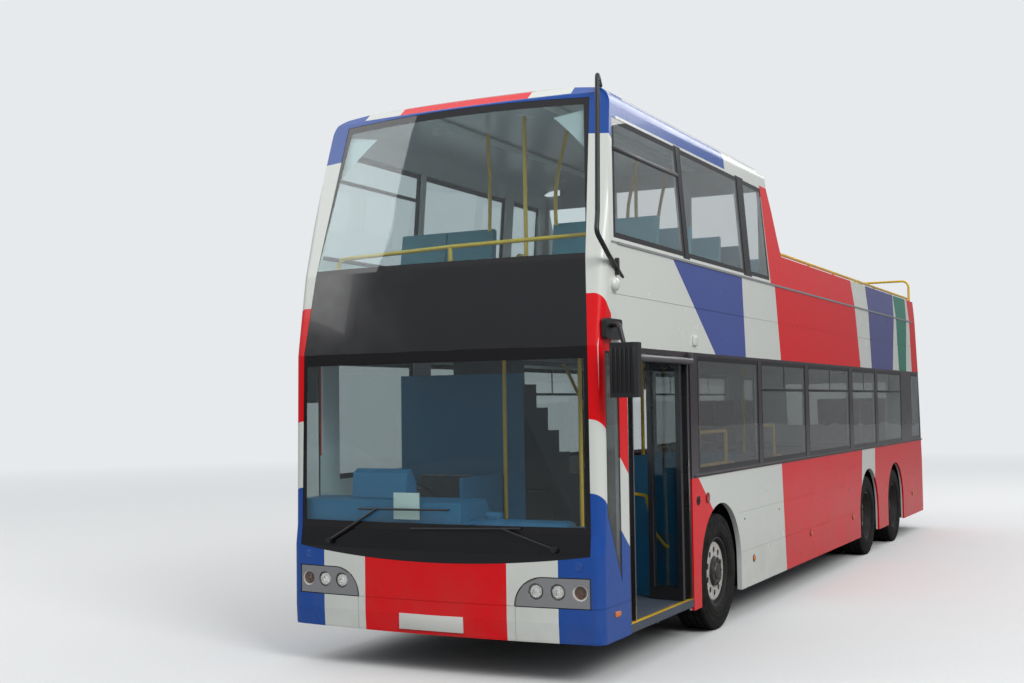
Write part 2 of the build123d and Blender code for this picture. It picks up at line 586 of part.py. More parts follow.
# Engine hatch, hinged along its top edge, with slats before the engine
hatch = flap_shell & rear_block(HATCH_HALF - MOVING_GAP, HATCH_LOW + MOVING_GAP, HATCH_HIGH - MOVING_GAP)
LOUVRE_HALF = 700
LOUVRE_LOW = HATCH_LOW + 90
LOUVRE_HIGH = HATCH_HIGH - 380
hatch -= rear_block(LOUVRE_HALF, LOUVRE_LOW, LOUVRE_HIGH)
hatch_slats = []
for level in range(LOUVRE_LOW + 30, LOUVRE_HIGH - 10, SLAT_PITCH):
    slat = side_prism([(LENGTH + 20, level), (LENGTH + 20, level + SLAT_THICK),
                       (LENGTH - 120, level + SLAT_THICK + 3 * SLAT_DROP), (LENGTH - 120, level + 3 * SLAT_DROP)],
                      -LOUVRE_HALF - 5, LOUVRE_HALF + 5)
    hatch_slats.append(slat & slat_skin)
barrel_room = Cylinder(FLAP_HINGE_RADIUS - 1, BARREL_TALL)
turning_arms = fuse([bracket(level, 0, HATCH_HIGH - 44, HATCH_PIN_HEIGHT) for level in HATCH_LEVELS])
turning_arms -= fuse([across_pin(level, 0) * barrel_room for level in HATCH_LEVELS])
hatch = fuse([hatch, *hatch_slats, turning_arms, hatch_turning])
write("engine_hatch", hatch)

# Emergency door: a glazed panel on turning straps
escape = flap_shell & side_cut(oblong(ESCAPE_PIN, ESCAPE_REAR - MOVING_GAP, ESCAPE_LOW + MOVING_GAP,
                                      ESCAPE_HIGH - MOVING_GAP), -1)
ESCAPE_FRAME = 90
glass_edges = (ESCAPE_FRONT + ESCAPE_FRAME, ESCAPE_REAR - ESCAPE_FRAME, LOWER_SILL, ESCAPE_HIGH - ESCAPE_FRAME)
escape -= side_cut(oblong(*glass_edges), -1)
glass_front, glass_rear, glass_low, glass_high = glass_edges
escape_pane = pane_skin & side_cut(oblong(glass_front + PANE_GAP, glass_rear - PANE_GAP,
                                          glass_low + PANE_GAP, glass_high - PANE_GAP), -1)
escape = escape + turning_straps - escape_fixed_room
pin_room = fuse([upright_pin(ESCAPE_PIN, -HALF)(level, 0) * barrel_room for level in ESCAPE_LEVELS])
escape = fuse([escape - pin_room, escape_turning])
write("emergency_door", escape, escape_pane)

# Side panes
panes = []
for side, bays in ((1, NEAR_LOWER), (-1, OFF_LOWER)):
    for bay in bays:
        panes.append(pane_skin & side_cut(lower_bay(*bay, grow=-PANE_GAP), side))
    panes.append(pane_skin & side_cut(quarter_light(-PANE_GAP), side))
panes.append(pane_skin & rear_block(WINDOW_HALF - PANE_GAP, WINDOW_LOW + PANE_GAP, WINDOW_HIGH - PANE_GAP))
write("lower_windows", *panes)
upper_panes = [pane_skin & side_cut(upper_bay(*bay, grow=-PANE_GAP), side)
               for side in (1, -1) for bay in UPPER_BAYS]
write("upper_windows", *upper_panes)

# Lower floor: plate notched for the wheel boxes, door sill, engine bulkhead and engine deck
UNDER_FLOOR = FLOOR_TOP - FLOOR_PLATE
SIDE_FACE = HALF - WALL - SEAT_GAP
floor_plate = lining & block(-10, ENGINE_BAY_FRONT - DECK_SHEET - SEAT_GAP, -FAR_Y, FAR_Y, UNDER_FLOOR, FLOOR_TOP)
# front set back, rear set back and inner wall of each pair of boxes, outside the sheet
WHEEL_BOXES = [(STEER_BOX_FRONT, FRONT_AXLE + STEER_BOX_HALF + BOX_SHEET, STEER_BOX_INNER - BOX_SHEET),
               (REAR_BOX_FRONT, REAR_BOX_END, BOX_INNER - BOX_SHEET)]
for d0, d1, inner_y in WHEEL_BOXES:
    notch = block(d0 - SEAT_GAP, d1 + SEAT_GAP, inner_y - SEAT_GAP, FAR_Y, 0, FLOOR_TOP + 10)
    floor_plate = floor_plate - notch - mirrored(notch)
sill = block(DOOR_FRONT + 3, DOOR_REAR - 3, SIDE_FACE + SEAT_GAP, HALF - 3, BUMPER_BOTTOM + 5, FLOOR_TOP)
bulkhead = lining & block(ENGINE_BAY_FRONT - DECK_SHEET, ENGINE_BAY_FRONT, -FAR_Y, FAR_Y, UNDER_FLOOR,
                          ENGINE_DECK - DECK_SHEET - SEAT_GAP)
engine_deck = lining & block(ENGINE_BAY_FRONT - DECK_SHEET, ENGINE_DECK_END, -FAR_Y, FAR_Y,
                             ENGINE_DECK - DECK_SHEET, ENGINE_DECK)
write("lower_floor", floor_plate, sill, bulkhead, engine_deck)

# Wheel boxes, each of a front, a rear and an inner sheet under a top sheet
box_sheets = []
for d0, d1, inner_y in WHEEL_BOXES:
    below = BOX_TOP - SEAT_GAP
    top = block(d0, d1, inner_y, SIDE_FACE, BOX_TOP, BOX_TOP + BOX_SHEET)
    ends = [block(d0, d0 + BOX_SHEET, inner_y, SIDE_FACE, UNDER_FLOOR, below),
            block(d1 - BOX_SHEET, d1, inner_y, SIDE_FACE, UNDER_FLOOR, below)]
    long_sheet = block(d0 + BOX_SHEET + SEAT_GAP, d1 - BOX_SHEET - SEAT_GAP, inner_y, inner_y + BOX_SHEET,
                       UNDER_FLOOR, below)
    for sheet in (top, *ends, long_sheet):
        box_sheets += [sheet, mirrored(sheet)]
write("wheel_boxes", *box_sheets)

# Luggage pen over the nearside front wheel box
PEN_TOP = 1450
PEN_SHEET = 18
pen_front_d = STEER_BOX_FRONT - SEAT_GAP
pen_rear_d = FRONT_AXLE + STEER_BOX_HALF
pen_foot = BOX_TOP + BOX_SHEET + SEAT_GAP
pen_inner = STEER_BOX_INNER - BOX_SHEET
pen_front = block(pen_front_d - PEN_SHEET, pen_front_d, pen_inner, SIDE_FACE, FLOOR_TOP + SEAT_GAP, PEN_TOP)
pen_side = block(STEER_BOX_FRONT, pen_rear_d - PEN_SHEET, pen_inner, pen_inner + PEN_SHEET, pen_foot, PEN_TOP)
pen_rear = block(pen_rear_d - PEN_SHEET + SEAT_GAP, pen_rear_d, pen_inner, SIDE_FACE, pen_foot, PEN_TOP)
write("luggage_pen", pen_front, pen_side, pen_rear)

# Upper floor with the stair opening
stair_head = STAIR_FOOT - STAIR_STEPS * STAIR_GOING
stair_hole_end = ROOF_END - 80
upper_floor = lining & block(-10, LENGTH + 10, -FAR_Y, FAR_Y, LOWER_CEILING, UPPER_FLOOR_TOP)
upper_floor -= block(stair_head, stair_hole_end, -STAIR_OUTER - 10, -STAIR_INNER + 10, 0, FAR_UP)
write("upper_floor", upper_floor)

# Stairs, rising forwards over the offside front wheel box
rise = (LOWER_CEILING - FLOOR_TOP) / STAIR_STEPS
profile = [(STAIR_FOOT, FLOOR_TOP + SEAT_GAP)]
for step in range(STAIR_STEPS):
    tread = FLOOR_TOP + (step + 1) * rise - SEAT_GAP
    profile += [(STAIR_FOOT - step * STAIR_GOING, tread), (STAIR_FOOT - (step + 1) * STAIR_GOING, tread)]
profile.append((stair_head, FLOOR_TOP + (STAIR_STEPS - 1) * rise - 60))
profile.append((STAIR_FOOT - 2 * STAIR_GOING, FLOOR_TOP + SEAT_GAP))
write("staircase", side_prism(profile, -STAIR_OUTER, -STAIR_INNER))

# Partition at the roof's rear edge, with a walk through and two openings
partition = lining & block(ROOF_END - 65, ROOF_END - 30, -FAR_Y, FAR_Y, UPPER_FLOOR_TOP + SEAT_GAP, FAR_UP)
partition -= block(ROOF_END - 200, ROOF_END + 200, -360, 360, 2000, SCREEN_TOP - 70)
for side in (1, -1):
    partition -= block(ROOF_END - 200, ROOF_END + 200, side * 440, side * 1120, UPPER_SILL, UPPER_HEAD)
write("deck_partition", partition - corner_cuts)

# Chassis frame: two rails, cross members between them, outriggers and towing lugs
members = []
rail_in, rail_out = RAIL_Y - RAIL_WIDE / 2, RAIL_Y + RAIL_WIDE / 2
MEMBERS = 12
MEMBER_HALF = 30
MEMBER_SHALLOW = 20
OUTRIGGER_HALF = 25
first_member = RAIL_FRONT + 50
last_member = RAIL_REAR - 50
for side in (1, -1):
    members.append(block(RAIL_FRONT, RAIL_REAR, side * rail_in, side * rail_out, RAIL_LOW, RAIL_TOP))
for n in range(MEMBERS):
    d = first_member + n * (last_member - first_member) / (MEMBERS - 1)
    members.append(block(d - MEMBER_HALF, d + MEMBER_HALF, -rail_in + SEAT_GAP, rail_in - SEAT_GAP,
                         RAIL_LOW + MEMBER_SHALLOW, RAIL_TOP))
OUTRIGGERS = [1200, FRONT_AXLE - 670, FRONT_AXLE + 730, 4400, 5500, ESCAPE_FRONT - 60, REAR_BOX_FRONT - 107,
              REAR_BOX_END + 42, LENGTH - 900]
for d in OUTRIGGERS:
    for side in (1, -1):
        members.append(block(d - OUTRIGGER_HALF, d + OUTRIGGER_HALF, side * (rail_out + SEAT_GAP), side * SIDE_FACE,
                             RAIL_LOW + MEMBER_SHALLOW, RAIL_TOP))
# set back of each towing eye's bore and of the member its lug is seated on
TOW_Y = 300
TOW_HALF = 45
TOW_LOW = 262
TOW_THICK = 40
TOW_RADIUS = 22
TOW_FRONT = 190
TOW_REAR = LENGTH - 150
member_face = MEMBER_HALF + SEAT_GAP
for d, root in ((TOW_FRONT, first_member - member_face), (TOW_REAR, last_member + member_face)):
    eye = Pos(back(d), TOW_Y, TOW_LOW + TOW_THICK / 2)
    lug = block(d, root, TOW_Y - TOW_HALF, TOW_Y + TOW_HALF, TOW_LOW, TOW_LOW + TOW_THICK)
    members.append(lug + eye * Cylinder(TOW_HALF, TOW_THICK) - eye * Cylinder(TOW_RADIUS, 2 * TOW_THICK))
write("chassis_frame", *members)

write("engine", block(ENGINE_BAY_FRONT + 60, LENGTH - 250, -520, 420, RAIL_TOP + SEAT_GAP, ENGINE_DECK - 130))

# Front axle: dropped beam, swan necks and kingpin bosses
BEAM_LOW = 165
BEAM_TOP = RAIL_LOW - SEAT_GAP
BEAM_HALF = 50
BOSS_RADIUS = 40
BOSS_HALF = 58
NECK_Y = 820


def beam(axle, reach, half=BEAM_HALF):
    return block(axle - half, axle + half, -reach, reach, BEAM_LOW, BEAM_TOP)


neck = block(FRONT_AXLE - 45, FRONT_AXLE + 45, NECK_Y - 50, NECK_Y + 10, BEAM_LOW, TYRE_RADIUS + 45)
arm = block(FRONT_AXLE - 35, FRONT_AXLE + 35, NECK_Y, KINGPIN_Y, TYRE_RADIUS - 40, TYRE_RADIUS + 40)
boss = Pos(back(FRONT_AXLE), KINGPIN_Y, TYRE_RADIUS) * Cylinder(BOSS_RADIUS, 2 * BOSS_HALF)
bore = Pos(back(FRONT_AXLE), KINGPIN_Y, TYRE_RADIUS) * Cylinder(KINGPIN_RADIUS + RUNNING_FIT, 6 * BOSS_HALF)
swan = neck + arm + boss - bore
write("front_axle", beam(FRONT_AXLE, NECK_Y + 10) + swan + mirrored(swan))

# Knuckle: two ears round the boss, a web outside it and a stub for the wheel
EAR_GAP = 0.5
EAR_THICK = 26
WEB_THICK = 20
STUB_END = WHEEL_TRACK_HALF + 40
web_inner = KINGPIN_Y + BOSS_RADIUS + 6
reach_z = BOSS_HALF + EAR_GAP + EAR_THICK
ears = []
for up in (1, -1):
    level = TYRE_RADIUS + up * (reach_z - EAR_THICK / 2)
    ears.append(Pos(back(FRONT_AXLE), KINGPIN_Y, level) * Cylinder(BOSS_RADIUS, EAR_THICK))
    ears.append(block(FRONT_AXLE - BOSS_RADIUS, FRONT_AXLE + BOSS_RADIUS, KINGPIN_Y, web_inner + WEB_THICK,
                      level - EAR_THICK / 2, level + EAR_THICK / 2))
web = block(FRONT_AXLE - BOSS_RADIUS, FRONT_AXLE + BOSS_RADIUS, web_inner, web_inner + WEB_THICK,
            TYRE_RADIUS - reach_z, TYRE_RADIUS + reach_z)
pin = Pos(back(FRONT_AXLE), KINGPIN_Y, TYRE_RADIUS) * Cylinder(KINGPIN_RADIUS, 2 * reach_z)


def wheel_bar(axle, y0, y1, radius):
    """Round bar along a wheel's axis."""
    return Pos(back(axle), (y0 + y1) / 2, TYRE_RADIUS) * Rot(90, 0, 0) * Cylinder(radius, abs(y1 - y0))


knuckle = fuse([*ears, web, pin, wheel_bar(FRONT_AXLE, web_inner, STUB_END, STUB_RADIUS)])
write("knuckle_left", knuckle)
write("knuckle_right", mirrored(knuckle))

# Rear axles: dropped housings with a stub at each hub, as (set back, upright's inner and outer side, half depth)
REAR_AXLES = [(DRIVE_AXLE, 604, 639, 55), (TAG_AXLE, 810, 870, 55)]
rear_parts = []
for axle, upright_in, upright_out, half in REAR_AXLES:
    upright = block(axle - 45, axle + 45, upright_in, upright_out, BEAM_LOW, TYRE_RADIUS + 55)
    stub = wheel_bar(axle, upright_out - 10, STUB_END, STUB_RADIUS)
    rear_parts.append(fuse([beam(axle, upright_out, half), upright, mirrored(upright), stub, mirrored(stub)]))
diff = Pos(back(DRIVE_AXLE), 0, (BEAM_LOW + BEAM_TOP) / 2) * Box(330, 300, BEAM_TOP - BEAM_LOW)
rear_parts[0] += diff
write("rear_axles", *rear_parts)


# Wheels
def ring_solid(points):
    """Turns an outline of (across, radius) points about the wheel's axis."""
    face = make_face(Polyline([(a, r) for a, r in points], close=True))
    plane = Plane(origin=(0, 0, 0), x_dir=(0, 1, 0), z_dir=(1, 0, 0))
    return revolve(plane * face, axis=Axis.Y)


def wheel_at(shape, axle, y):
    return Pos(back(axle), y, TYRE_RADIUS) * shape


TREAD_HALF = TYRE_WIDTH / 2 - 30
SHOULDER = 18
BEAD_INSET = 22
bead = RIM_RADIUS + SEAT_GAP
tyre_side = TYRE_WIDTH / 2
tyre = ring_solid([(BEAD_INSET - tyre_side, bead), (tyre_side - BEAD_INSET, bead), (tyre_side, bead + 85),
                   (tyre_side - 10, TYRE_RADIUS - SHOULDER), (TREAD_HALF, TYRE_RADIUS), (-TREAD_HALF, TYRE_RADIUS),
                   (10 - tyre_side, TYRE_RADIUS - SHOULDER), (-tyre_side, bead + 85)])
RIM_HALF = TYRE_WIDTH / 2 - 24
RIM_THICK = 14
DISC_HALF = 8
DISC_FLAT = 190
HAND_HOLES = 10
HAND_HOLE_RADIUS = 24
HAND_HOLE_CIRCLE = 226
HUB_RADIUS = 118


def rim(face_at, out):
    """Rim with its disc face_at away from the tyre's middle; out is the side its shoulder slopes from."""
    barrel = ring_solid([(-RIM_HALF, RIM_RADIUS), (RIM_HALF, RIM_RADIUS), (RIM_HALF, RIM_RADIUS - RIM_THICK),
                         (-RIM_HALF, RIM_RADIUS - RIM_THICK)])
    shoulder = RIM_HALF * 0.5 * out
    edge = RIM_RADIUS - RIM_THICK / 2
    disc = ring_solid([(face_at - DISC_HALF, STUB_RADIUS + 20), (face_at + DISC_HALF, STUB_RADIUS + 20),
                       (face_at + DISC_HALF, DISC_FLAT), (shoulder + DISC_HALF, edge), (shoulder - DISC_HALF, edge),
                       (face_at - DISC_HALF, DISC_FLAT)])
    holes = []
    for n in range(HAND_HOLES):
        angle = 2 * math.pi * n / HAND_HOLES
        holes.append(Pos(HAND_HOLE_CIRCLE * math.cos(angle), (face_at + shoulder) / 2,
                         HAND_HOLE_CIRCLE * math.sin(angle)) * Rot(90, 0, 0)
                     * Cylinder(HAND_HOLE_RADIUS, abs(face_at - shoulder) + 60))
    return barrel + (disc - fuse(holes))


def hub(y0, y1):
    return Pos(0, (y0 + y1) / 2, 0) * Rot(90, 0, 0) * Cylinder(HUB_RADIUS, y1 - y0)


# Each wheel as (name, axle's set back, twin, set of the disc from the tyre's middle)
WHEELS = [("front", FRONT_AXLE, False, 60), ("drive", DRIVE_AXLE, True, 8 - TWIN_SPACING / 2),
          ("tag", TAG_AXLE, False, -100)]
for name, axle, twin, face_at in WHEELS:
    metal = rim(face_at, 1 if face_at > 0 else -1)
    hub_in, hub_out = min(face_at, 0) - 60, max(face_at, 0) + 55
    rubber = [tyre]
    if twin:
        inner_rim = Pos(0, -TWIN_SPACING, 0) * rim(TWIN_SPACING + face_at - 2 * DISC_HALF - 1, 1)
        hub_in = -230
        metal = metal + inner_rim
        rubber.append(Pos(0, -TWIN_SPACING, 0) * tyre)
    metal += hub(hub_in, hub_out)
    bore_end = STUB_END - WHEEL_TRACK_HALF + 2
    bore = Pos(0, (bore_end + hub_in - 1) / 2, 0) * Rot(90, 0, 0)
    metal -= bore * Cylinder(STUB_RADIUS + RUNNING_FIT, bore_end - hub_in + 1)
    metal = wheel_at(metal, axle, WHEEL_TRACK_HALF)
    rubber = [wheel_at(each, axle, WHEEL_TRACK_HALF) for each in rubber]
    write("wheel_" + name + "_left", metal)
    write("wheel_" + name + "_right", mirrored(metal))
    write("tyre_" + name + "_left", *rubber)
    write("tyre_" + name + "_right", *[mirrored(each) for each in rubber])

# Entrance doors: two pairs of hinged glazed leaves, modelled folded open
door_y = HALF - WALL / 2
LEAF_LOW = FLOOR_TOP + 8
LEAF_SILL = 90
LEAF_HEAD = 70
HINGE_GAP = 16
HINGE_LEVELS = [700, 1300, 1900]


def leaf(start, end):
    """A frame and its pane drawn shut, along the set backs from start to end."""
    low, high = min(start, end), max(start, end)
    body = block(low, high, door_y - LEAF_THICK / 2, door_y + LEAF_THICK / 2, LEAF_LOW, LEAF_TOP)
    hole = block(low + LEAF_FRAME, high - LEAF_FRAME, door_y - LEAF_THICK, door_y + LEAF_THICK,
                 LEAF_LOW + LEAF_SILL, LEAF_TOP - LEAF_HEAD)
    inset = LEAF_FRAME + PANE_GAP
    pane = block(low + inset, high - inset, door_y - GLASS / 2, door_y + GLASS / 2,
                 LEAF_LOW + LEAF_SILL + PANE_GAP, LEAF_TOP - LEAF_HEAD - PANE_GAP)
    return body - hole, pane


def about(shape, x, y, angle):
    return Pos(x, y, 0) * Rot(0, 0, angle) * Pos(-x, -y, 0) * shape


PILLARS = [("front", DOOR_FRONT + LEAF_PIN, 1), ("rear", DOOR_REAR - LEAF_PIN, -1)]
for name, edge, way in PILLARS:
    pin_x = back(edge)
    hinge_d = edge + way * LEAF_LENGTH
    end_d = edge + way * (2 * LEAF_LENGTH - 4)
    post_foot = FLOOR_TOP + SEAT_GAP
    post = Pos(pin_x, door_y, (post_foot + LEAF_TOP) / 2) * Cylinder(POST_RADIUS, LEAF_TOP - post_foot)
    first, first_pane = leaf(edge, hinge_d - way * HINGE_GAP / 2)
    second, second_pane = leaf(hinge_d + way * HINGE_GAP / 2, end_d)
    hinge_x, hinge_y = back(hinge_d), door_y + LEAF_THICK / 2
    fixed, turning, fixed_room, turning_room = barrels(HINGE_LEVELS, BARREL_TALL, upright_pin(hinge_d, hinge_y))
    first = first + post - turning_room + fixed
    second = second - fixed_room + turning
    first_parts = [about(each, pin_x, door_y, way * LEAF_OPEN) for each in (first, first_pane)]
    second_parts = []
    for each in (second, second_pane):
        folded = about(each, hinge_x, hinge_y, -way * 2 * LEAF_OPEN)
        second_parts.append(about(folded, pin_x, door_y, way * LEAF_OPEN))
    write("door_" + name + "_pillar_leaf", *first_parts)
    write("door_" + name + "_middle_leaf", *second_parts)

# Cab: dash with a lower kerb side half and a binnacle, partitions beside and behind the driver
DASH_LOW = 700
DASH_TOP = 1216
DASH_TOP_NEAR = 1037
DASH_SPLIT = 200
dash = lining & side_prism([(60, DASH_LOW), (520, DASH_LOW), (500, 1120), (420, DASH_TOP), (60, DASH_TOP - 10)],
                           -FAR_Y, DASH_SPLIT)
dash_near = lining & side_prism([(60, DASH_LOW), (430, DASH_LOW), (400, DASH_TOP_NEAR), (60, DASH_TOP_NEAR)],
                                DASH_SPLIT + SEAT_GAP, HALF - WALL - 60)
binnacle_foot = DASH_TOP + SEAT_GAP
binnacle = side_prism([(255, binnacle_foot), (415, binnacle_foot), (400, 1330), (330, 1430), (275, 1400)],
                      -845, -370)
cab_side = block(560, 1560, -90, -60, FLOOR_TOP + SEAT_GAP, 1350)
cab_back = block(1560 + SEAT_GAP, 1590, -SIDE_FACE, -60, FLOOR_TOP + SEAT_GAP, 2150)
write("cab_fittings", dash, dash_near, binnacle, cab_side, cab_back)

# Steering wheel and column
wheel_place = Pos(back(600), -600, 1260) * Rot(0, -25, 0)
column = wheel_place * Pos(0, 0, -135) * Cylinder(28, 270)
spokes = wheel_place * (Box(50, 440, 16) + Pos(-110, 0, 0) * Box(220, 40, 14))
write("steering_wheel", fuse([wheel_place * Torus(225, 14), spokes, column]) - dash - binnacle)

# Seats: a pedestal, a cushion and one shell a place, drawn at the set back of the cushion's front edge
CUSHION_LONG = 420
CUSHION_LOW = 335
CUSHION_TOP = 450
SHELL_TOP = 1010
PLACE_GAP = 14


def across_prism(points, y0, y1, radius):
    """A prism across the bus with its long edges rounded."""
    solid = side_prism(points, y0, y1)
    return fillet(solid.edges().filter_by(Axis.Y), radius)


def seat(front, level, y0, y1, places, sink=0):
    """Seat standing at a level; sink shortens its pedestal."""
    low = level + SEAT_GAP - sink
    foot = level + SEAT_GAP
    middle, half = (y0 + y1) / 2, (y1 - y0) / 2
    pedestal = block(front + 110, front + 330, middle - 0.45 * half, middle + 0.45 * half,
                     foot, low + CUSHION_LOW - SEAT_GAP)
    cushion = oblong(front, front + CUSHION_LONG - 1, low + CUSHION_LOW, low + CUSHION_TOP)
    pieces = [pedestal, across_prism(cushion, y0, y1, 30)]
    wide = (y1 - y0 - (places - 1) * PLACE_GAP) / places
    for n in range(places):
        start = y0 + n * (wide + PLACE_GAP)
        face = front + CUSHION_LONG - 1 + SEAT_GAP
        outline = [(face, low + CUSHION_LOW), (face + 70, low + CUSHION_LOW),
                   (front + 560, low + SHELL_TOP - 25), (front + 505, low + SHELL_TOP),
                   (face, low + CUSHION_TOP + 30)]
        pieces.append(across_prism(outline, start, start + wide, 20))
    return pieces


SEAT_WIDE = 880
SINGLE_WIDE = 560
BOX_SEAT_SINK = 150
seat_out = HALF - WALL - 24
seat_in = seat_out - SEAT_WIDE
ROW_ROOM = 600


def rows(first, limit, pitch):
    """Set backs of as many rows as end before the limit."""
    return [first + pitch * n for n in range(int((limit - ROW_ROOM - first) // pitch) + 1)]


lower_seats = []
for d in rows(FRONT_AXLE + 750, REAR_BOX_FRONT, 770):
    lower_seats += seat(d, FLOOR_TOP, seat_in, seat_out, 2)
for d in rows(STAIR_FOOT + 120, ESCAPE_FRONT, 780):
    lower_seats += [mirrored(piece) for piece in seat(d, FLOOR_TOP, seat_in, seat_out, 2)]
for d in rows(REAR_BOX_FRONT + 53, REAR_BOX_END, 770):
    row = seat(d, BOX_TOP + BOX_SHEET, seat_out - SINGLE_WIDE, seat_out, 1, BOX_SEAT_SINK)
    lower_seats += row + [mirrored(piece) for piece in row]
write("lower_seats", *lower_seats)
upper_out = seat_out - 45
upper_seats = []
for d in rows(1000, ROOF_END - 65, 760)[:4] + rows(ROOF_END + 80, LENGTH - 412, 745):
    row = seat(d, UPPER_FLOOR_TOP, upper_out - SEAT_WIDE, upper_out, 2)
    upper_seats += row
    if not stair_head - 700 < d < stair_hole_end:
        upper_seats += [mirrored(piece) for piece in row]
write("upper_seats", *upper_seats)
write("driver_seat", *seat(800, FLOOR_TOP, -880, -360, 1))

# Handrails
RAIL_RADIUS = 16
STANDING = FLOOR_TOP + SEAT_GAP
CEILING = LOWER_CEILING - SEAT_GAP
UPPER_STANDING = UPPER_FLOOR_TOP + SEAT_GAP


def pole(d, y, z0, z1):
    return Pos(back(d), y, (z0 + z1) / 2) * Cylinder(RAIL_RADIUS, z1 - z0)


def bar(points, radius, bend=60):
    """Bent tube through points of (set back, across, height)."""
    ends = [(back(d), y, z) for d, y, z in points]
    path = FilletPolyline(*ends, radius=bend) if len(ends) > 2 else Line(*ends)
    start = Plane(origin=path @ 0, z_dir=path % 0)
    return sweep(start * Circle(radius), path=path)


poles = [pole(d, y, STANDING, CEILING) for d, y in
         ((540, 1010), (1200, -35), (1200, 620), (FRONT_AXLE + 700, 300), (4840, 300), (6380, 300))]
poles.append(pole(pen_front_d - PEN_SHEET / 2, 900, PEN_TOP + SEAT_GAP, CEILING))
s_front = pen_front_d - PEN_SHEET - SEAT_GAP
poles.append(bar([(s_front, 660, 1170), (s_front - 45, 660, 1170), (s_front - 45, 870, 1150),
                  (s_front - 45, 930, 870), (s_front - 45, 1030, 745), (s_front, 1030, 745)], 13, 26))
stair_rail_y = -STAIR_INNER + 30
poles.append(bar([(STAIR_FOOT - 40, stair_rail_y, STANDING), (STAIR_FOOT - 40, stair_rail_y, 1300),
                  (STAIR_FOOT - 1120, stair_rail_y, CEILING - 20)], RAIL_RADIUS))
write("lower_handrails", *poles)

SCREEN_BAR_MIDDLE = 3062
screen_bar = bar([(450, -1090, UPPER_STANDING + 300), (450, -1090, 3040), (360, 0, SCREEN_BAR_MIDDLE),
                  (450, 1100, 3088), (520, SIDE_FACE + 20, 3088)], RAIL_RADIUS, 70) & lining
GUARD_TALL = 900
guard_top = UPPER_STANDING + GUARD_TALL
guard_ends = (stair_head + 60, stair_hole_end - 70)
stair_guard = bar([(guard_ends[0], stair_rail_y, UPPER_STANDING), (guard_ends[0], stair_rail_y, guard_top),
                   (guard_ends[1], stair_rail_y, guard_top), (guard_ends[1], stair_rail_y, UPPER_STANDING)],
                  RAIL_RADIUS)
screen_post = pole(360, -30, UPPER_STANDING, SCREEN_BAR_MIDDLE - RAIL_RADIUS / 2)
upper_poles = [pole(d, 300, UPPER_STANDING, ROOF_EDGE - WALL) for d in (950, 3230)]
write("covered_deck_rails", screen_bar + screen_post, stair_guard, *upper_poles)

# Rails of the open deck: a tube over each parapet on posts and a hoop across the rear
parapet_y = HALF - WALL / 2 - 24
PARAPET_SEAT = PARAPET_TOP + SEAT_GAP
TUBE_RISE = 32
open_front, open_rear = ROOF_END + 340, LENGTH - 770
tube_level = PARAPET_TOP + TUBE_RISE
near_rail = [bar([(open_front, parapet_y, tube_level), (open_rear, parapet_y, tube_level)], RAIL_RADIUS)]
POSTS = 7
for n in range(POSTS):
    d = open_front + 20 + n * (open_rear - open_front - 40) / (POSTS - 1)
    near_rail.append(Pos(back(d), parapet_y, (PARAPET_SEAT + tube_level) / 2)
                     * Cylinder(RAIL_RADIUS - 4, tube_level - PARAPET_SEAT))
near_rail = fuse(near_rail)
hoop_d = LENGTH - 600
hoop_top = PARAPET_TOP + 302
hoop = bar([(hoop_d, -parapet_y, PARAPET_SEAT), (hoop_d, -parapet_y, hoop_top),
            (hoop_d, parapet_y, hoop_top), (hoop_d, parapet_y, PARAPET_SEAT)], RAIL_RADIUS, 90)
write("deck_rails", near_rail, mirrored(near_rail), hoop)

# Branch guard at the nearside front corner
guard = bar([(620, 1080, SCREEN_TOP + 60), (200, 1240, SCREEN_TOP + 30), (80, 1275, 3180), (22, 1290, 3040),
             (200, 1300, 2900), (535, 1255, 2780)], 17, 50)
guard = (guard - skin).solids().sort_by(SortBy.VOLUME)[-1]
write("branch_guard", guard)

# Mirrors: nearside ahead of the pillar, offside behind it
MIRROR_ROUND = 28
near_head = fillet(block(40, 160, 1350, 1550, 1930, 2295).edges().filter_by(Axis.Z), MIRROR_ROUND)
near_arm = bar([(280, HALF - 10, 2420), (120, 1400, 2420), (100, 1450, 2250)], RAIL_RADIUS, 40) - skin
near_mount = fillet(block(140, 420, HALF + SEAT_GAP, HALF + 36, 2330, 2470).edges().filter_by(Axis.Y), 20) - skin
off_head = fillet(block(560, 680, -1550, -1350, 1930, 2290).edges().filter_by(Axis.Z), MIRROR_ROUND)
off_arm = bar([(620, -HALF + 10, 2200), (620, -1400, 2200)], RAIL_RADIUS) - skin
write("mirrors", near_head + near_arm + near_mount, off_head + off_arm)

# Wipers parked along the foot of the lower screen, as (across, height) of pivot, blade's middle and its ends
WIPER_STAND = 9
WIPERS = [((-900, 915), (-473, 1153), (-640, 1152), (128, 1160)),
          ((935, 915), (547, 1042), (-186, 1022), (686, 1046))]


def face_point(y, z, stand):
    """Point standing off the front face at a place given across and in height."""
    for (z0, d0), (z1, d1) in zip(FRONT_FACE, FRONT_FACE[1:]):
        if z0 <= z <= z1:
            d = d0 + (d1 - d0) * (z - z0) / (z1 - z0)
    return (d + BOW_RADIUS - math.sqrt(BOW_RADIUS**2 - y**2) - stand, y, z)


panel_face = envelope(2 - SEAT_GAP)
wipers = []
for pivot, elbow, start, end in WIPERS:
    middle = face_point((start[0] + end[0]) / 2, (start[1] + end[1]) / 2, WIPER_STAND)
    boss = Pos(back(face_point(*pivot, 0)[0]), *pivot) * Rot(0, 90, 0) * Cylinder(22, 70)
    arm = bar([face_point(*pivot, WIPER_STAND + 10), face_point(*elbow, WIPER_STAND + 10)], 9)
    blade = bar([face_point(*start, WIPER_STAND), middle, face_point(*end, WIPER_STAND)], 8, 400)
    wipers.append((boss - panel_face).solids().sort_by(Axis.X)[-1] + arm + blade)
write("wipers", *wipers)
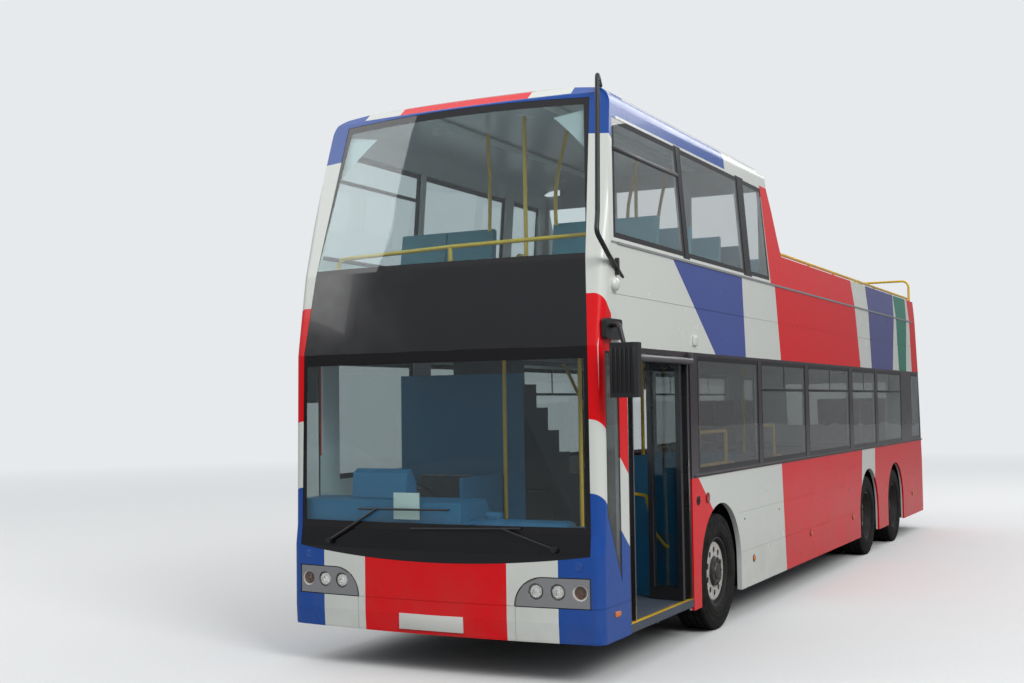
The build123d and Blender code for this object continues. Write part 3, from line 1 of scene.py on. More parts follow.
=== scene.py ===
import bpy, bmesh, json, math
from mathutils import Matrix, Quaternion, Vector


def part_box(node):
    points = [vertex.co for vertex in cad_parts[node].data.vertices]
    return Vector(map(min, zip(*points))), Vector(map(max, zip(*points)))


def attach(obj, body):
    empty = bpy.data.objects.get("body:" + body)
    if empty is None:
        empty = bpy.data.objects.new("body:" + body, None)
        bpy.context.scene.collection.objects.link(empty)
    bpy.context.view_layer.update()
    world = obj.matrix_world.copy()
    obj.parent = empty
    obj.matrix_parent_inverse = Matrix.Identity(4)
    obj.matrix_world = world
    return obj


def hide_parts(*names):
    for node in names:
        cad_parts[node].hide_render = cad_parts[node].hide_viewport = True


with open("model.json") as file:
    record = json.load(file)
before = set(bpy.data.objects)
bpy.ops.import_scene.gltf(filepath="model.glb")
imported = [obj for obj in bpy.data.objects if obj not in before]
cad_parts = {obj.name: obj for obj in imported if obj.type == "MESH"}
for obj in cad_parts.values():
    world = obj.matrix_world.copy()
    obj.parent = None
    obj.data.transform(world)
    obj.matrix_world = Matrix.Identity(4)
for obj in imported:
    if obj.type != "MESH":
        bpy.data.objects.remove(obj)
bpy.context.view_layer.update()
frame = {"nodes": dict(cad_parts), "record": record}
scene = bpy.context.scene

# Camera at the photo's place: low on the kerb side, ahead of the nearside front corner.
# Its lens, place and angles are those at which the model's corners meet the photo's.
camera_data = bpy.data.cameras.new("camera")
camera_data.lens = 45.705
camera_data.sensor_width = 36.0
camera_data.clip_end = 200.0
camera = bpy.data.objects.new("camera", camera_data)
scene.collection.objects.link(camera)
camera.location = (14.0222, 4.7326, 1.8912)
yaw, pitch, roll = 0.4753, 0.0488, -0.0142
forward = Vector((-math.cos(yaw) * math.cos(pitch), -math.sin(yaw) * math.cos(pitch), math.sin(pitch)))
camera.rotation_mode = "QUATERNION"
camera.rotation_quaternion = forward.to_track_quat("-Z", "Y") @ Quaternion((0, 0, 1), roll)
scene.camera = camera
scene.view_settings.view_transform = "Standard"


# Studio: a pale concrete floor that runs out to a pale horizon, one broad lamp high on the kerb side
# and two weaker ones across the bus and behind it, under a sky that is brighter overhead.
def new_finish(name):
    """A node material with its shader."""
    finish = bpy.data.materials.new(name)
    finish.use_nodes = True
    return finish, finish.node_tree, finish.node_tree.nodes["Principled BSDF"]


def feed(tree, socket, value):
    """Gives a socket a number, a colour or another node's output."""
    if isinstance(value, bpy.types.NodeSocket):
        tree.links.new(value, socket)
    else:
        socket.default_value = value


def node(tree, kind, values=(), **settings):
    """A shader node with its settings and its sockets fed."""
    made = tree.nodes.new("ShaderNode" + kind)
    for key, value in settings.items():
        setattr(made, key, value)
    for socket, value in dict(values).items():
        feed(tree, made.inputs[socket], value)
    return made


def sums(tree, operation, *values):
    return node(tree, "Math", enumerate(values), operation=operation).outputs[0]


def blend_colour(tree, share, first, second):
    """Second colour over the first where share is 1."""
    first, second = [c if isinstance(c, bpy.types.NodeSocket) else (*c, 1) for c in (first, second)]
    return node(tree, "Mix", {0: share, 6: first, 7: second}, data_type="RGBA").outputs[2]


def ramp(tree, value, low, high, start=0.0, end=1.0):
    return node(tree, "MapRange", {0: value, 1: low, 2: high, 3: start, 4: end}).outputs[0]


def place_on(tree):
    return node(tree, "TexCoord").outputs["Object"]


def noise(tree, place, scale, detail=8.0, rough=0.7):
    values = {"Vector": place, "Scale": scale, "Detail": detail, "Roughness": rough}
    return node(tree, "TexNoise", values).outputs[0]


def set_shader(tree, shader, **sockets):
    """Feeds a shader's sockets, which are named with underscores for spaces."""
    for key, value in sockets.items():
        feed(tree, shader.inputs[key.replace("_", " ")], value)


def surface(tree, shader, colour, rough, grain, depth, wear=0.12, spread=0.08, **sockets):
    """Feeds a shader with colour, roughness and relief that vary at the grain's scale (per metre)."""
    place = place_on(tree)
    fine = noise(tree, place, grain, 5.0, 0.5)
    broad = noise(tree, place, 2.3, 6.0, 0.65)
    if not isinstance(colour, bpy.types.NodeSocket):
        dark = [c * (1 - wear) for c in colour]
        light = [min(1, c * (1 + wear)) for c in colour]
        colour = blend_colour(tree, broad, dark, light)
    speck = ramp(tree, fine, 0.35, 0.75, 1 - wear * 0.6, 1 + wear * 0.3)
    colour = node(tree, "VectorMath", {0: colour, "Scale": speck}, operation="SCALE").outputs[0]
    bump = node(tree, "Bump", {"Strength": 0.5, "Distance": depth, "Height": fine})
    worn = ramp(tree, broad, 0.3, 0.7, rough - spread, rough + spread)
    set_shader(tree, shader, Base_Color=colour, Roughness=worn, Normal=bump.outputs[0], **sockets)


def plain_finish(name, colour, rough, grain, depth, wear=0.12, **sockets):
    """A finish of one colour."""
    finish, tree, shader = new_finish(name)
    surface(tree, shader, colour, rough, grain, depth, wear, **sockets)
    return finish


def new_piece(form, name, finish, sharp=0.6):
    """A mesh object at the origin from a finished bmesh."""
    mesh = bpy.data.meshes.new(name)
    form.to_mesh(mesh)
    form.free()
    mesh.materials.append(finish)
    mesh.shade_smooth()
    mesh.set_sharp_from_angle(angle=sharp)
    piece = bpy.data.objects.new(name, mesh)
    scene.collection.objects.link(piece)
    return piece


def backdrop_seen(tree):
    """1 for a ray that comes from the camera, straight or through glass."""
    path = node(tree, "LightPath")
    return sums(tree, "MAXIMUM", path.outputs["Is Camera Ray"], path.outputs["Is Transmission Ray"])


def mix_shaders(tree, share, first, second, output="Material Output"):
    mixed = node(tree, "MixShader", {0: share, 1: first.outputs[0], 2: second.outputs[0]})
    feed(tree, tree.nodes[output].inputs[0], mixed.outputs[0])


HORIZON = (0.80, 0.82, 0.84, 1)
HAZE_START, HAZE_END = 11.0, 34.0
form = bmesh.new()
bmesh.ops.create_grid(form, x_segments=8, y_segments=8, size=90)
concrete, tree, shader = new_finish("studio_concrete")
seen = backdrop_seen(tree)
floor_colour = blend_colour(tree, seen, (0.26, 0.26, 0.26), (0.72, 0.72, 0.71))
surface(tree, shader, floor_colour, 0.8, 30.0, 0.002, 0.05)
distance = node(tree, "VectorMath", {0: place_on(tree)}, operation="LENGTH").outputs["Value"]
share = sums(tree, "MULTIPLY", seen, ramp(tree, distance, HAZE_START, HAZE_END))
mix_shaders(tree, share, shader, node(tree, "Emission", {0: HORIZON, 1: 1.0}))
new_piece(form, "studio_floor", concrete)
world = bpy.data.worlds.new("studio_sky")
scene.world = world
world.use_nodes = True
tree = world.node_tree
sky = tree.nodes["Background"]
sky.inputs[0].default_value = (0.93, 0.96, 1.0, 1)
height = node(tree, "SeparateXYZ", {0: node(tree, "TexCoord").outputs["Generated"]}).outputs["Z"]
feed(tree, sky.inputs[1], ramp(tree, height, 0.02, 0.75, 0.16, 1.0))
mix_shaders(tree, backdrop_seen(tree), sky, node(tree, "Background", {0: HORIZON, 1: 1.0}), "World Output")
for spot, aim, broad, watts in (((15, 17, 15), (1, 0, 2), 9, 3000), ((14, -16, 13), (0, 0, 2), 10, 900),
                                ((-16, 6, 14), (-3, 0, 2), 9, 900)):
    lamp_data = bpy.data.lights.new("softbox", "AREA")
    lamp_data.size = broad
    lamp_data.energy = watts
    lamp = bpy.data.objects.new("softbox", lamp_data)
    lamp.location = spot
    lamp.rotation_mode = "QUATERNION"
    lamp.rotation_quaternion = (Vector(aim) - Vector(spot)).to_track_quat("-Z", "Y")
    scene.collection.objects.link(lamp)


# Body panels: aluminium and moulded plastic skins on a steel frame, sprayed white, with coloured vinyl
# laid over them. Places are given as (set back behind the front bumper, height), in metres.
FRONT = 6.1
REAR = -6.1
SKIN = 1.265
RED = (0.74, 0.002, 0.006)
WHITE = (0.66, 0.68, 0.63)
FRONT_BLUE = (0.012, 0.072, 0.33)
SIDE_BLUE = (0.055, 0.085, 0.31)
PURPLE = (0.075, 0.08, 0.25)
GREEN = (0.02, 0.20, 0.13)
LINING = (0.62, 0.63, 0.63)
GREY = (0.235, 0.24, 0.245)
DARK = (0.012, 0.011, 0.012)
ROAD_DIRT = (0.16, 0.145, 0.125)


class Spot:
    """A shaded point: its place, x, y and z, how far it is set back and how far out from the middle.
    bow is that last distance squared: a bowed face sits in by a share of it."""

    def __init__(self, tree):
        self.place = place_on(tree)
        self.x, self.y, self.z = node(tree, "SeparateXYZ", {0: self.place}).outputs
        self.back = sums(tree, "SUBTRACT", FRONT, self.x)
        self.away = sums(tree, "ABSOLUTE", self.y)
        self.bow = sums(tree, "MULTIPLY", self.away, self.away)


def over(tree, value, limit):
    return sums(tree, "GREATER_THAN", value, limit)


def under(tree, value, limit):
    return sums(tree, "LESS_THAN", value, limit)


def either(tree, share, *others):
    """1 where any of the shares is."""
    for other in others:
        share = sums(tree, "MAXIMUM", share, other)
    return share


def overlap(tree, share, *others):
    """1 where all of the shares are."""
    for other in others:
        share = sums(tree, "MULTIPLY", share, other)
    return share


def weighed(tree, start, *terms):
    """The start plus each value times its weight."""
    for value, weight in terms:
        start = sums(tree, "MULTIPLY_ADD", value, weight, start)
    return start


def side_of_line(tree, at, way, line):
    """1 to the front or rear of a line through two places, or above or below it."""
    (d0, z0), (d1, z1) = line
    if way in ("rear", "front"):
        lean = (d1 - d0) / (z1 - z0)
        across, limit = Vector((-1, 0, -lean)), d0 - lean * z0 - FRONT
    else:
        lean = (z1 - z0) / (d1 - d0)
        across, limit = Vector((lean, 0, 1)), z0 - lean * d0 + lean * FRONT
    if way in ("front", "below"):
        across, limit = -across, -limit
    reach = node(tree, "VectorMath", {0: at.place, 1: across}, operation="DOT_PRODUCT").outputs["Value"]
    return over(tree, reach, limit)


def level(z):
    return (0.0, z), (10.0, z)


def upright(d):
    return (d, 0.0), (d, 4.0)


def between(low, high):
    """Edges of a level band."""
    return [("above", level(low)), ("below", level(high))]


def paint(name, vinyls=(), stripes=None, stripes_end=None, lining=None, grime=True, more=None):
    """Gloss paint with vinyls, each given as its colour and the edges round it.
    Stripes read from the middle outwards: colour, edge, colour, edge, colour.
    lining gives 1 on the outer face, and more lays further colours."""
    finish, tree, shader = new_finish(name)
    at = Spot(tree)
    colour = WHITE
    if stripes:
        middle, middle_edge, beside, beside_edge, corner = stripes
        striped = blend_colour(tree, under(tree, at.away, beside_edge), corner, beside)
        striped = blend_colour(tree, under(tree, at.away, middle_edge), striped, middle)
        ahead = side_of_line(tree, at, "front", upright(stripes_end)) if stripes_end else 1.0
        colour = blend_colour(tree, ahead, colour, striped)
    for vinyl, edges in vinyls:
        share = overlap(tree, *[side_of_line(tree, at, *edge) for edge in edges])
        colour = blend_colour(tree, share, colour, vinyl)
    if more:
        colour = more(tree, at, colour)
    if grime:
        low = ramp(tree, at.z, 0.95, 0.25, 0.0, 0.2)
        share = sums(tree, "MULTIPLY", low, ramp(tree, noise(tree, at.place, 3.0), 0.4, 0.7))
        colour = blend_colour(tree, share, colour, ROAD_DIRT)
    if lining:
        colour = blend_colour(tree, lining(tree, at), LINING, colour)
    surface(tree, shader, colour, 0.24, 420.0, 0.00004, 0.03, 0.05, Coat_Weight=0.12, Coat_Roughness=0.05,
            Specular_IOR_Level=0.3)
    return finish


RUB_RAIL = 3.005


def outer_side(tree, at):
    """1 on the outer face of a side, which leans in above the rub rail."""
    lean, margin = 0.076, 0.022
    above_rail = sums(tree, "MAXIMUM", sums(tree, "SUBTRACT", at.z, RUB_RAIL), 0.0)
    return over(tree, weighed(tree, at.away, (above_rail, lean)), SKIN - margin)


def outer_roof(tree, at):
    """1 on the outer face of the roof: over its cambered top and ahead of its sloping brow."""
    crown, brow_slope, brow_limit = 4.222, 3.0, 17.925
    top = over(tree, weighed(tree, at.z, (at.bow, 0.065)), crown)
    brow = over(tree, weighed(tree, at.x, (at.z, brow_slope), (at.bow, 0.244)), brow_limit)
    return either(tree, top, brow, outer_side(tree, at))


def outer_front(tree, at):
    """1 on the outer face of the front, which leans back above the lower screen, and round its corners."""
    foot, deck, head = 1.01, 2.285, 4.12
    low = ramp(tree, at.z, foot, deck, 0.02, 0.038)
    high = ramp(tree, at.z, deck, head, 0.038, 0.485)
    reach = weighed(tree, at.x, (either(tree, low, high), 1.0), (at.bow, 0.0487))
    return either(tree, over(tree, reach, FRONT - 0.012), outer_side(tree, at))


def outer_rear(tree, at):
    """1 on the outer face of the rear wall, which leans forwards in two steps."""
    foot, deck, head = 1.0, 2.3, 3.7
    low = ramp(tree, at.z, foot, deck, 0.0, 0.13)
    high = ramp(tree, at.z, deck, head, 0.0, 0.29)
    reach = weighed(tree, at.x, (low, -1.0), (high, -1.0), (at.bow, -0.0357))
    return either(tree, under(tree, reach, REAR + 0.025), outer_side(tree, at))


def lamp_surround(tree, at, colour):
    """Grey panels round the headlamps, rounded at their inner ends, with a black joint round each."""
    foot, inner, outer = 0.525, 0.845, 1.178
    wide, tall = 0.205, 0.195
    for joint, tone in ((0.007, DARK), (0.0, GREY)):
        inwards = sums(tree, "MAXIMUM", sums(tree, "SUBTRACT", inner, at.away), 0.0)
        across = sums(tree, "DIVIDE", inwards, wide + joint)
        up = sums(tree, "DIVIDE", sums(tree, "SUBTRACT", at.z, foot), tall + joint)
        reach = sums(tree, "MULTIPLY_ADD", across, across, sums(tree, "MULTIPLY", up, up))
        share = overlap(tree, under(tree, reach, 1.0), over(tree, at.z, foot - joint),
                        under(tree, at.away, outer + joint))
        colour = blend_colour(tree, share, colour, tone)
    return colour


BLUE_END = 3.11


def roof_corners(tree, at, colour):
    """Blue along the roof's edges, as far back as on the sides."""
    share = overlap(tree, over(tree, at.away, 0.95), over(tree, at.x, FRONT - BLUE_END))
    return blend_colour(tree, share, colour, FRONT_BLUE)


def dress(finish, *names):
    """Gives CAD nodes a finish."""
    for name in names:
        for holder in frame["nodes"][name].material_slots:
            holder.material = finish


brow_blue = (FRONT_BLUE, [("above", ((0.40, 3.84), (0.60, 3.70))), ("front", upright(0.62))])
corner_vinyls = [
    (RED, [("below", level(2.645)), ("below", ((0.17, 2.645), (0.385, 2.43))),
           ("above", ((0.0, 1.87), (0.5, 1.455)))]),
    (FRONT_BLUE, [("below", ((0.1, 1.285), (0.467, 0.98)))]),
    brow_blue,
]
upper_vinyls = [
    (FRONT_BLUE, [("above", level(3.95)), ("front", upright(BLUE_END))]),
    (SIDE_BLUE, [("rear", ((1.556, 3.0), (2.541, 2.29))), ("front", ((3.326, 3.0), (3.393, 2.29))),
                 ("below", level(3.0))]),
    (RED, [("rear", ((4.375, 3.03), (4.47, 2.6))), ("front", ((7.74, 3.3), (7.92, 2.74)))]),
    (RED, [("rear", ((4.245, 3.05), (4.19, 3.93))), ("above", level(RUB_RAIL)), ("front", upright(4.8))]),
    (PURPLE, [("rear", ((8.54, 3.3), (8.70, 2.3))), ("front", ((10.27, 3.3), (10.05, 2.3)))]),
    (GREEN, [("rear", ((10.30, 3.3), (10.47, 2.3))), ("front", ((11.15, 3.3), (11.0, 2.3)))]),
    (RED, [("rear", ((11.28, 3.3), (11.42, 2.3)))]),
    (DARK, [("rear", upright(1.80)), ("front", upright(1.96)), *between(3.03, 3.945)]),
    (DARK, [("rear", upright(3.40)), ("front", upright(3.65)), *between(3.03, 3.945)]),
    (GREY, between(3.0005, 3.0195)),
    brow_blue,
]
skirt_vinyls = [
    (RED, [("front", ((2.08, 1.26), (2.413, 0.994))), ("front", upright(2.6)), ("rear", upright(1.85))]),
    (RED, [("rear", ((4.479, 1.275), (4.573, 0.256))), ("front", ((8.03, 1.3), (7.9, 0.46)))]),
    (RED, [("rear", ((8.77, 1.32), (8.69, 0.64)))]),
    (FRONT_BLUE, [("front", ((0.75, 1.3), (1.2, 0.26)))]),
]
dress(paint("front_paint", corner_vinyls, lining=outer_front), "front_frame")
dress(paint("bumper_paint", stripes=(RED, 0.577, WHITE, 0.955, FRONT_BLUE), more=lamp_surround),
      "front_bumper")
dress(paint("roof_paint", stripes=(RED, 0.55, WHITE, 0.885, FRONT_BLUE), stripes_end=0.66, lining=outer_roof,
            grime=False, more=roof_corners), "roof")
dress(paint("upper_side_paint", upper_vinyls, lining=outer_side, grime=False), "nearside_upper_side",
      "offside_upper_side")
dress(paint("skirt_paint", skirt_vinyls, lining=outer_side), "nearside_skirt", "offside_skirt")
dress(paint("rear_paint", stripes=(FRONT_BLUE, 0.577, WHITE, 0.955, RED), lining=outer_rear), "rear_wall",
      "engine_hatch")

# Window band of the lower sides and the dark panels of the front: the same skins, sprayed gloss black.
# The band is a brown black, and pale on its inner face.
BAND_BLACK = (0.030, 0.022, 0.025)
band, tree, shader = new_finish("window_band_paint")
band_colour = blend_colour(tree, outer_side(tree, Spot(tree)), LINING, BAND_BLACK)
surface(tree, shader, band_colour, 0.2, 420.0, 0.00004, 0.06, 0.06, Coat_Weight=0.3, Coat_Roughness=0.03)
dress(band, "nearside_lower_side", "offside_lower_side")
gloss_black = plain_finish("gloss_black", (0.004, 0.004, 0.006), 0.16, 420.0, 0.00004, 0.2, Coat_Weight=0.2,
                           Coat_Roughness=0.02)
dress(gloss_black, "front_dark_panels")


# Panes: safety glass, a little tinted, bonded to the frame from outside.
# A black printed border hides the adhesive, and light passes the clear part.
def pane_finish(name, tint, border=None):
    """Glass with a printed border; border gives 1 on the print."""
    finish, tree, shader = new_finish(name)
    at = Spot(tree)
    streak = noise(tree, at.place, 1.7, 6.0)
    colour = blend_colour(tree, streak, tint, [c * 0.93 for c in tint])
    clear = 1.0
    if border:
        printed = border(tree, at)
        colour = blend_colour(tree, printed, colour, DARK)
        clear = sums(tree, "SUBTRACT", 1.0, printed)
    ripple = noise(tree, at.place, 1.1, 1.0, 0.5)
    bump = node(tree, "Bump", {"Strength": 0.25, "Distance": 0.02, "Height": ripple})
    set_shader(tree, shader, Base_Color=colour, Transmission_Weight=clear, IOR=1.45,
               Roughness=ramp(tree, streak, 0.3, 0.8, 0.0, 0.025), Normal=bump.outputs[0])
    lit = sums(tree, "MULTIPLY", node(tree, "LightPath").outputs["Is Shadow Ray"], clear)
    mix_shaders(tree, lit, shader, node(tree, "BsdfTransparent", {0: (*tint, 1)}))
    return finish


def outside(tree, value, low, high):
    return either(tree, under(tree, value, low), over(tree, value, high))


def inside(tree, value, low, high):
    return sums(tree, "SUBTRACT", 1.0, outside(tree, value, low, high))


def choose(tree, share, first, second):
    """The second number where share is 1."""
    return node(tree, "Mix", {0: share, 2: first, 3: second}, data_type="FLOAT").outputs[0]


# Each bay of clear glass runs from its front to its rear edge.
QUARTER_LIGHT, REAR_BAYS = (0.0, 0.41), [(7.68, 8.834), (9.036, 10.52), (11.34, 11.90)]
NEAR_BAYS = [QUARTER_LIGHT, (2.10, 3.715), (3.89, 5.39), (5.59, 7.386), (7.62, 8.834), *REAR_BAYS[1:]]
OFF_BAYS = [QUARTER_LIGHT, (0.68, 1.75), (2.10, 3.715), (3.89, 5.39), (5.59, 6.52), *REAR_BAYS]


def lower_border(tree, at):
    """Round each lower bay, and along the sloping foot of the quarter light beside the screen."""
    near, off = [sums(tree, "SUBTRACT", 1.0, either(tree, *[inside(tree, at.back, *bay) for bay in bays]))
                 for bays in (NEAR_BAYS, OFF_BAYS)]
    posts = choose(tree, over(tree, at.y, 0.0), off, near)
    plain = either(tree, posts, outside(tree, at.z, 1.365, 2.225))
    on_a_side = sums(tree, "SUBTRACT", 1.0, under(tree, at.away, 1.1))
    foot = side_of_line(tree, at, "below", ((0.186, 1.20), (0.425, 0.70)))
    head = side_of_line(tree, at, "above", level(2.235))
    quarter = either(tree, foot, head, outside(tree, at.back, 0.203, 0.408))
    corner = side_of_line(tree, at, "front", upright(0.5))
    return choose(tree, corner, overlap(tree, plain, on_a_side), quarter)


def upper_border(tree, at):
    """Round the three upper bays; the first leans back at its front edge."""
    first_edge = weighed(tree, 0.425, (sums(tree, "SUBTRACT", at.z, 3.045), 0.181))
    posts = [inside(tree, at.back, *post) for post in ((1.805, 1.955), (3.41, 3.64), (4.175, 9.0))]
    return either(tree, under(tree, at.back, first_edge), *posts, outside(tree, at.z, 3.085, 3.89))


def screen_border(tree, at):
    """Round both screens: wider at the foot of the lower one and down the sides of both."""
    taper = sums(tree, "MULTIPLY", sums(tree, "SUBTRACT", at.z, 2.89), 0.118)
    half_upper = sums(tree, "SUBTRACT", 1.13, sums(tree, "MAXIMUM", taper, 0.0))
    head = over(tree, weighed(tree, at.z, (at.bow, 0.022)), 4.055)
    low_print = either(tree, over(tree, at.away, 1.145), outside(tree, at.z, 1.06, 2.2))
    high_print = either(tree, over(tree, at.away, half_upper), head, under(tree, at.z, 2.93))
    return choose(tree, over(tree, at.z, 2.6), low_print, high_print)


dress(pane_finish("screen_glass", (0.66, 0.76, 0.77), screen_border), "windscreens")
dress(pane_finish("lower_side_glass", (0.42, 0.44, 0.43), lower_border), "lower_windows")
dress(pane_finish("upper_side_glass", (0.66, 0.70, 0.70), upper_border), "upper_windows")

# Hidden and inner parts: coated chassis steel, cast axles, speckled vinyl floors, moulded linings,
# yellow coated rails, satin black fittings and the hard shells of the upper deck's seats.
chassis_coat = plain_finish("chassis_coat", (0.022, 0.022, 0.023), 0.6, 60.0, 0.002, 0.35)
cast_iron = plain_finish("cast_iron", (0.12, 0.115, 0.11), 0.7, 90.0, 0.003, 0.3, Metallic=0.6)
floor_vinyl = plain_finish("floor_vinyl", (0.07, 0.085, 0.11), 0.55, 350.0, 0.0008, 0.45)
partition_white = plain_finish("partition_white", (0.50, 0.50, 0.48), 0.4, 150.0, 0.0005)
cab_blue = plain_finish("cab_blue", (0.015, 0.15, 0.30), 0.42, 220.0, 0.0008, 0.14)
yellow = plain_finish("rail_yellow", (0.78, 0.47, 0.012), 0.35, 180.0, 0.0005, Coat_Weight=0.4)
satin_black = plain_finish("satin_black", (0.014, 0.014, 0.015), 0.42, 260.0, 0.0006, 0.25)
seat_plastic = plain_finish("seat_plastic", (0.02, 0.20, 0.27), 0.45, 240.0, 0.001, 0.16)
dress(chassis_coat, "chassis_frame", "wheel_boxes")
dress(cast_iron, "front_axle", "rear_axles", "knuckle_left", "knuckle_right", "engine")
dress(floor_vinyl, "lower_floor", "upper_floor", "staircase")
dress(partition_white, "deck_partition")
dress(cab_blue, "cab_fittings", "luggage_pen")
dress(yellow, "lower_handrails", "covered_deck_rails", "deck_rails")
dress(satin_black, "branch_guard", "wipers", "steering_wheel", "mirrors")
dress(seat_plastic, "upper_seats")

# Tyres: moulded rubber, ribbed on the sidewalls and with four grooves round the tread, pressed onto the
# rims. An outline is (out from the tyre's middle, radius), from the bead up to the middle of the tread.
AXLE_HEIGHT = 0.4785
GROOVE_DEPTH = 0.013
GROOVE_DRAFT = 0.0015
HALF_TREAD = [(0.1155, 0.2853), (0.128, 0.299), (0.1340, 0.325), (0.1352, 0.327), (0.1352, 0.331),
              (0.1345, 0.333), (0.1375, 0.368), (0.1375, 0.374), (0.1365, 0.376), (0.1345, 0.415),
              (0.1355, 0.417), (0.1352, 0.422), (0.1335, 0.424), (0.128, 0.455), (0.120, 0.4735),
              (0.1075, AXLE_HEIGHT)]
for outer, inner in ((0.0865, 0.0755), (0.0365, 0.0250)):
    HALF_TREAD += [(outer, AXLE_HEIGHT), (outer - GROOVE_DRAFT, AXLE_HEIGHT - GROOVE_DEPTH),
                   (inner + GROOVE_DRAFT, AXLE_HEIGHT - GROOVE_DEPTH), (inner, AXLE_HEIGHT)]
TYRE_LINE = HALF_TREAD + [(-across, radius) for across, radius in reversed(HALF_TREAD)]


def turned(form, outline, centre, axis="X", steps=32, closed=False, way=1):
    """Spins an outline of (along the axis, radius) points about an axis through a point.
    way turns the outline to face along the axis or against it."""
    along, up = {"X": ((1, 0, 0), (0, 0, 1)), "Y": ((0, 1, 0), (0, 0, 1))}[axis]
    along, up, centre = map(Vector, (along, up, centre))
    verts = [form.verts.new(centre + along * a * way + up * r) for a, r in outline]
    edges = [form.edges.new(pair) for pair in zip(verts, verts[1:])]
    if closed:
        edges.append(form.edges.new((verts[-1], verts[0])))
    bmesh.ops.spin(form, geom=verts + edges, cent=centre, axis=along, angle=2 * math.pi, steps=steps,
                   use_merge=True)


def close_up(form):
    """Merges doubles and turns the faces outwards."""
    bmesh.ops.remove_doubles(form, verts=form.verts[:], dist=1e-5)
    bmesh.ops.recalc_face_normals(form, faces=form.faces[:])


def fitted(form, name, finish, slot, body="root", source=None, sharp=0.6):
    """A piece on its body, in place of the CAD node that it stands for, which it hides. slot is not used."""
    piece = new_piece(form, name, finish, sharp)
    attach(piece, body)
    if source:
        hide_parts(source)
    return piece


TRACK = 1.1
TWIN = 0.318
# Each row: axle, set back, the insets of its wheels, and how far out of the track the face of the disc,
# the face of the hub and the trim are.
AXLES = [("front", 2.6, [0.0], 0.068, 0.115, 0.092), ("drive", 8.37, [0.0, TWIN], -0.143, 0.055, 0.030),
         ("tag", 10.02, [0.0], -0.092, 0.055, 0.030)]
SIDES = (("left", 1), ("right", -1))
tread_rubber, tree, shader = new_finish("dusty_rubber")
dust = ramp(tree, noise(tree, place_on(tree), 14.0), 0.35, 0.75)
rubber = blend_colour(tree, dust, (0.007, 0.007, 0.007), (0.030, 0.028, 0.025))
surface(tree, shader, rubber, 0.78, 140.0, 0.0015, 0.3, Specular_IOR_Level=0.15)
for axle, set_back, insets, *_ in AXLES:
    for side, sign in SIDES:
        form = bmesh.new()
        for inset in insets:
            turned(form, TYRE_LINE, (FRONT - set_back, sign * (TRACK - inset), AXLE_HEIGHT), "Y", 72, True)
        close_up(form)
        fitted(form, f"{axle}_tread_{side}", tread_rubber, "tyre", f"wheels_{axle}_{side}",
               f"tyre_{axle}_{side}", 0.5)


# Wheels: pressed steel discs in silver paint, dark at the hub and at the rim's edge, held by ten nuts.
# A dull stainless trim with a hole round each nut covers the disc, and a cast cap closes the hub.
def wheel_finish(name, set_back):
    finish, tree, shader = new_finish(name)
    place = place_on(tree)
    hub = {0: place, 1: (FRONT - set_back, 0, AXLE_HEIGHT)}
    from_axle = node(tree, "VectorMath", hub, operation="SUBTRACT").outputs[0]
    flat = node(tree, "VectorMath", {0: from_axle, 1: (1, 0, 1)}, operation="MULTIPLY").outputs[0]
    radius = node(tree, "VectorMath", {0: flat}, operation="LENGTH").outputs["Value"]
    dust = ramp(tree, noise(tree, place, 22.0), 0.4, 0.75)
    silver = blend_colour(tree, dust, (0.17, 0.16, 0.15), (0.08, 0.075, 0.07))
    colour = blend_colour(tree, outside(tree, radius, 0.152, 0.268), silver, (0.035, 0.033, 0.032))
    surface(tree, shader, colour, 0.42, 90.0, 0.0008, 0.15)
    return finish


def linked(made, kind):
    """The edges or faces at the corners of a shape just made, each once and in order."""
    return list(dict.fromkeys(part for vert in made["verts"] for part in getattr(vert, kind)))


def raise_faces(form, faces, along):
    """Extrudes faces along the wheel's axis."""
    raised = bmesh.ops.extrude_face_region(form, geom=faces)
    tips = [part for part in raised["geom"] if isinstance(part, bmesh.types.BMVert)]
    bmesh.ops.translate(form, verts=tips, vec=(0, along, 0))


def hexagon(form, centre, radius, long, sign, turn):
    """A nut along the wheel's axis on a round washer."""
    washer = 0.004
    for segments, size, start, end in ((14, radius * 1.35, 0.0, washer), (6, radius, washer, long)):
        foot = Matrix.Translation(centre + Vector((0, sign * start, 0))) \
            @ Matrix.Rotation(math.pi / 2, 4, "X") @ Matrix.Rotation(turn, 4, "Z")
        made = bmesh.ops.create_circle(form, cap_ends=True, segments=segments, radius=size, matrix=foot)
        raise_faces(form, linked(made, "link_faces"), sign * (end - start))


def round_hub(count, radius, first=0.0):
    """The angle, and the places along and up, of points spread round the hub."""
    for n in range(count):
        angle = 2 * math.pi * (n + first) / count
        yield angle, radius * math.cos(angle), radius * math.sin(angle)


# Sizes of nuts and bolts are (radius over the corners, length).
NUTS, NUT_CIRCLE, NUT_SIZE = 10, 0.172, (0.0165, 0.022)
CAP_BOLTS, CAP_BOLT_CIRCLE, CAP_BOLT_SIZE = 8, 0.098, (0.008, 0.010)
HOLE_CIRCLE, HOLE_RADIUS = 0.178, 0.0262


